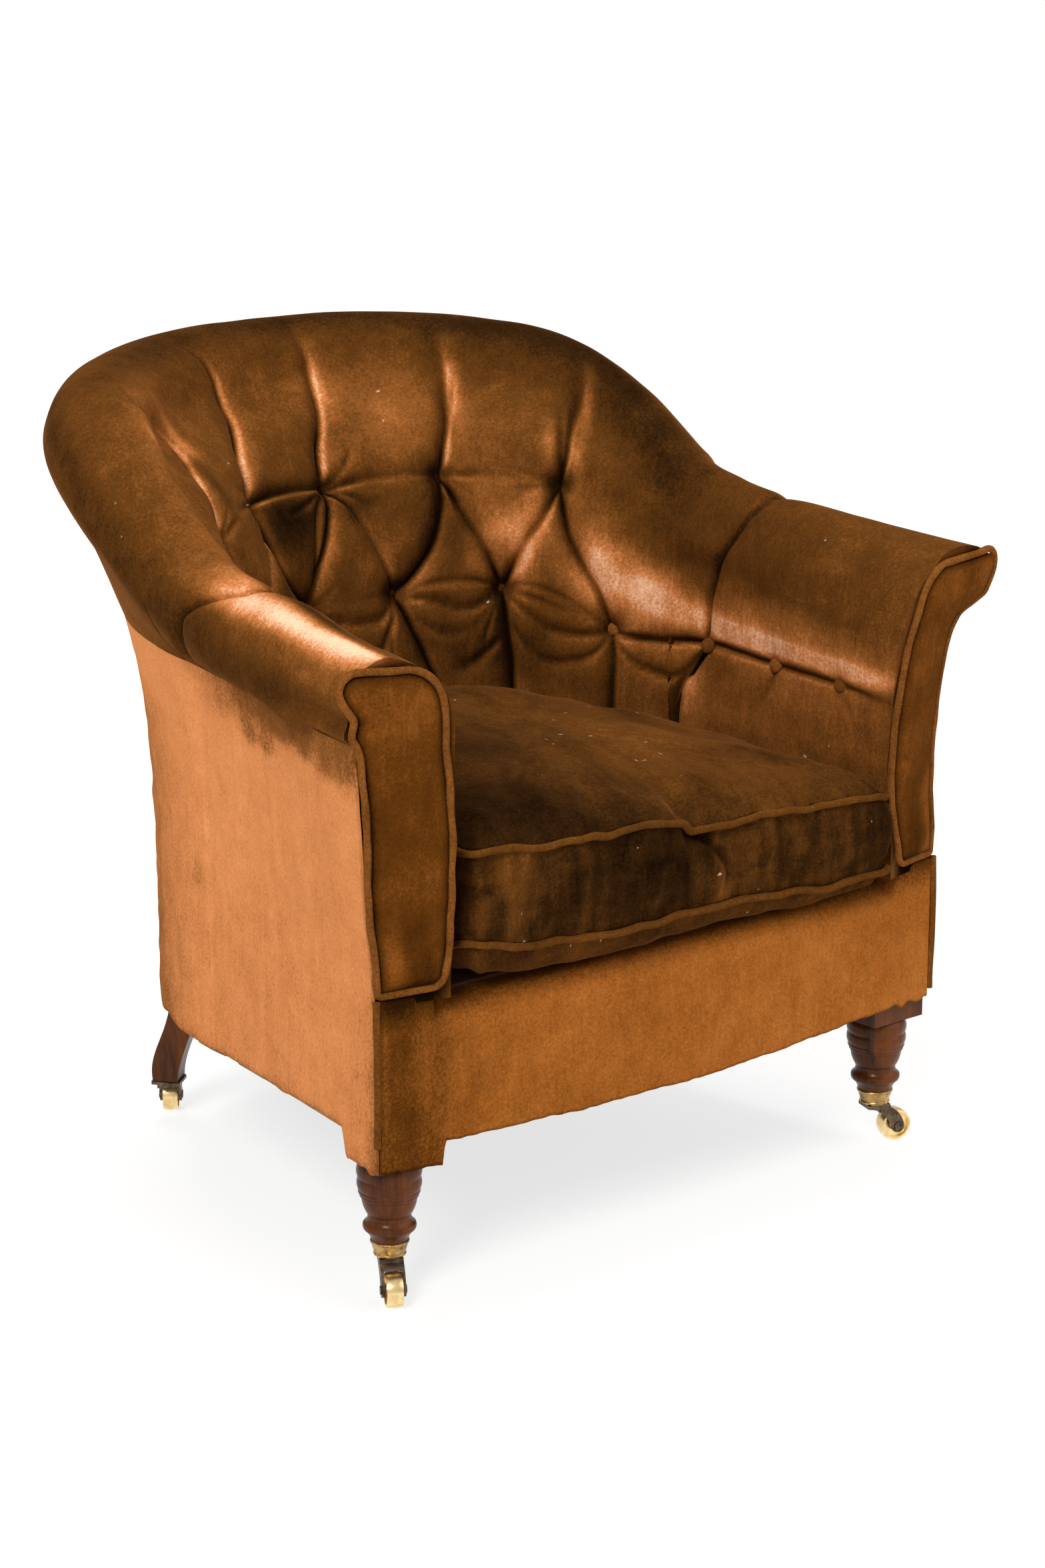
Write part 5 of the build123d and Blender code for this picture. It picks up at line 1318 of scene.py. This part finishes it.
for k in np.linspace(.05, .95, 17):
    bulge = np.interp(k, (.08, .2, .35, .5, .65, .8, .92),
                      (.0026, .0006, -.0012, -.002, -.0014, .0004, .0026))
    level = cushionLook["lowSeam"] + k * (cushionLook["highSeam"] - cushionLook["lowSeam"])
    spots = np.column_stack([cushionEdge, np.full(len(cushionEdge), level)])
    broad, small = cushionLook["crush"]
    crush = broad * ripple(spots * (1, 1, .5), .08, 71) + small * ripple(spots, .03, 72)
    bowed = fromNotch - .045 * math.sin(2.2 * min(1 - k, .8))
    deep = cushionLook["creaseDeep"]
    crease = (.004 * dimple * k**2 + deep * front * smoothStep(.02, .3, k) * np.where(
        bowed < 0, np.exp(-np.abs(bowed) / .005), np.exp(-np.abs(bowed) / .012))
        + .003 * front * np.exp(-np.abs(fromNotch - .09 + .02 * k) / .008) * k
        + .005 * np.exp(-np.abs(k - .55 - 4 * (cushionEdge[:, 0] + .245)) / .12)
        * front * smoothStep(-.2, -.245, cushionEdge[:, 0]))
    creased.append(crease)
    inset = bulge + .0004 + crush + crease + lowPlan * (1 - k) + swayPlan * k
    flat = cushionEdge + inward * inset[:, None]
    height = level + swayLow * (1 - k) + swayHigh * k
    loops.append((flat, height, np.full(len(flat), level)))
for share in shares:  # the crowned top, from the upper seam to its middle
    base = cushionEdge + inward * (cushionLook["tuck"] + swayPlan)[:, None]
    flat = middle + (base - middle) * (1 - share)
    gap = gapTo(flat, base)
    rise = np.interp(gap, *zip(*crown))
    rounding = np.exp(-((flat[:, 1] - .35) / .13)**2 - ((flat[:, 0] + .02) / .2)**2)
    swell = cushionLook["swell"] * rounding * smoothStep(0, .07, gap)
    trough = cushionLook["trough"] * np.exp(
        -((flat[:, 0] - .006) / .03)**2 - ((flat[:, 1] + .03) / .06)**2)
    spots = np.column_stack([flat, np.zeros(len(flat))])
    broad, small = cushionLook["uneven"]
    uneven = ((broad * ripple(spots, .13, 73) + small * ripple(spots, .045, 74))
              * smoothStep(0, .03, gap))
    height = (cushionLook["highSeam"] + rise + swell - trough + uneven
              + swayHigh * (1 - smoothStep(0, .05, gap)))
    loops.append((flat, height, np.full(len(flat), cushionLook["highSeam"])))
space = np.array([np.column_stack([flat, height - flat[:, 0] * cushionLean(leanLevel)])
                  for flat, height, leanLevel in loops])
around = cushionLook["around"]
faces = gridFaces(len(space), around, closeColumns=True) + capFaces(len(space), around)
topRow = np.zeros(space.shape[:2])
topRow[-len(shares):] = 1
sideRow = np.zeros(space.shape[:2])
sideRow[len(shares):-len(shares)] = 1
x, y = space[..., 0], space[..., 1]
brushed = ripple(space * (1, .18, 1), .03, 76) + .6 * ripple(space * (1, .12, 1), .012, 77)
# the cushion's tone: brushed pile streaks; the top lighter towards the back, darker towards the left,
# lighter in one patch and darker along the front; the side darker left of the middle and lighter near
# the left corner, with a painted highlight right of the front dimple
napAndShading = (.33 + .035 * ripple(space, .12, 75) + .03 * brushed
       + topRow * (.03 + .08 * smoothStep(.2, .42, y) - .17 * smoothStep(.02, -.2, x)
                   + .08 * np.exp(-((x - .1) / .12)**2 - ((y - .12) / .1)**2)
                   - .04 * hump(y, -.02, .03))
       + sideRow * (-.03 - .13 * hump(x, -.05, .09) + .02 * smoothStep(-.1, -.24, x)
                    - .05 * smoothStep(.05, .2, x) + .09 * hump(x, .045, .02)
                    + .1 * hump(x, -.215, .02)
                    + .05 * ripple(space * (1, 1, .1), .018, 78)))
# painted shade in the front creases and along both piped seams
foldShade = np.zeros(space.shape[:2])
foldShade[len(shares):-len(shares)] = np.clip(
    np.array(creased) / cushionLook["creaseDeep"] - .45, 0, 1) * .55
for seam in (len(shares) - 1, len(space) - len(shares)):
    foldShade[seam] = .6
cushion = meshPiece("looseCushion", space, faces, cushionVelvet, {"napAndShading": napAndShading, "foldShade": foldShade})
fitted(cushion, "loose_cushion", "seat_cushion")
for level, plan, lift, word in ((cushionLook["lowSeam"], lowPlan, swayLow, "Low"),
                                (cushionLook["highSeam"], swayPlan, swayHigh, "High")):
    flat = cushionEdge + inward * (.0002 + plan)[:, None]
    path = np.column_stack([flat, level + lift - flat[:, 0] * cushionLean(level)])
    thick = cushionLook["cord"] * (1 + .05 * ripple(path, .03, 81))
    cord = cordPiece("cushionPiping" + word, path, thick, pipingVelvet, closed=True, napAndShading=.3)
    fitted(cord, "loose_cushion", "cushion_piping")
print("cushion made")

# Under the seat: the dust cloth, tacked up under the rails and sagging a little between

dustLook = {"thick": .0009, "sag": .004, "tackPitch": .038, "tackFold": .0012, "rows": 90,
            "turnUp": .0066}
clothLow, clothHigh = (np.array(corner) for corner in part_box("dust_cloth"))
legLow, legHigh = (np.array(corner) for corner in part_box("front_leg_right"))
clothRound = clothHigh[1] - tubSize["centre"]
step = legHigh[1] + .002


def clothHalf(y):
    inRound = np.sqrt(np.maximum(clothRound**2 - np.maximum(y - tubSize["centre"], 0)**2, 1e-6))
    tapered = np.interp(y, (step, tubSize["centre"]), (clothHigh[0], clothRound))
    return np.where(y < step + .0005, legLow[0] - .002,
                    np.where(y < tubSize["centre"], tapered, inRound))


ys = np.concatenate([np.linspace(clothLow[1], step, 14),
                     step + .001 + (clothHigh[1] - .0005 - step - .001)
                     * np.sin(np.linspace(0, math.pi / 2, dustLook["rows"]))])
across = np.sin(np.linspace(-math.pi / 2, math.pi / 2, 75))
flat = np.stack([across[None] * clothHalf(ys)[:, None], ys[:, None] + 0 * across[None]], -1)
edgeGap = np.minimum((1 - np.abs(across[None])) * clothHalf(ys)[:, None],
                     np.minimum(ys - clothLow[1], clothHigh[1] - ys)[:, None])
run = 2 * math.pi * (flat[..., 0] + flat[..., 1]) / dustLook["tackPitch"]
level = (clothHigh[2] - .0003 - dustLook["sag"] * smoothStep(0, .16, edgeGap)
         + dustLook["turnUp"] * np.exp(-edgeGap / .008)
         - dustLook["tackFold"] * np.exp(-edgeGap / .018) * (1 + np.sin(run)) / 2
         - .0007 * (1 + ripple(np.dstack([flat, 0 * edgeGap]), .07, 91)))
upper = np.dstack([flat, level])
layers = np.concatenate([upper, (upper - (0, 0, dustLook["thick"]))[::-1]])
faces = gridFaces(len(layers), len(across), closeRows=True) + endFaces(len(layers), len(across))
dust = meshPiece("dustCloth", layers, faces, blackCambric, crisp=70)
fitted(dust, "chair_frame", "dust_cloth")
wide, deep = 2 * float(clothHigh[0]), float(clothHigh[1] - clothLow[1])
print("dust cloth made")

# The deck under the cushion

deck = {"radius": .272, "centre": .3, "front": .025, "frontHalf": .3123, "top": .292, "foot": .2605}


def deckLoop(radius, frontHalf, front, count=200):
    turn = np.linspace(0, math.pi, 60)
    back = [(radius * math.cos(a), deck["centre"] + radius * math.sin(a)) for a in turn]
    return evenly(np.array([(frontHalf, front), *back, (-frontHalf, front)]), count)


loop = deckLoop(deck["radius"], deck["frontHalf"], deck["front"])
shares = np.array((1, .85, .7, .55, .4, .25, .12, .05, 0))
core = np.array((0, deck["centre"]))
tops = [core + (loop - core) * (1 - s) for s in shares]
rise = [-.0008 - .004 * math.exp(-s / .03) for s in shares]
space = [np.column_stack([t, np.full(len(t), deck["top"] + z)]) for t, z in zip(tops, rise)]
space += [np.column_stack([loop, np.full(len(loop), z)]) for z in (.283, .272, deck["foot"])]
space = np.array(space)
faces = gridFaces(len(space), len(loop), closeColumns=True) + capFaces(len(space), len(loop))
deckPiece = meshPiece("seatDeck", space, faces, deckLining, crisp=60)
fitted(deckPiece, "chair_frame", "seat_deck")
print("deck made")
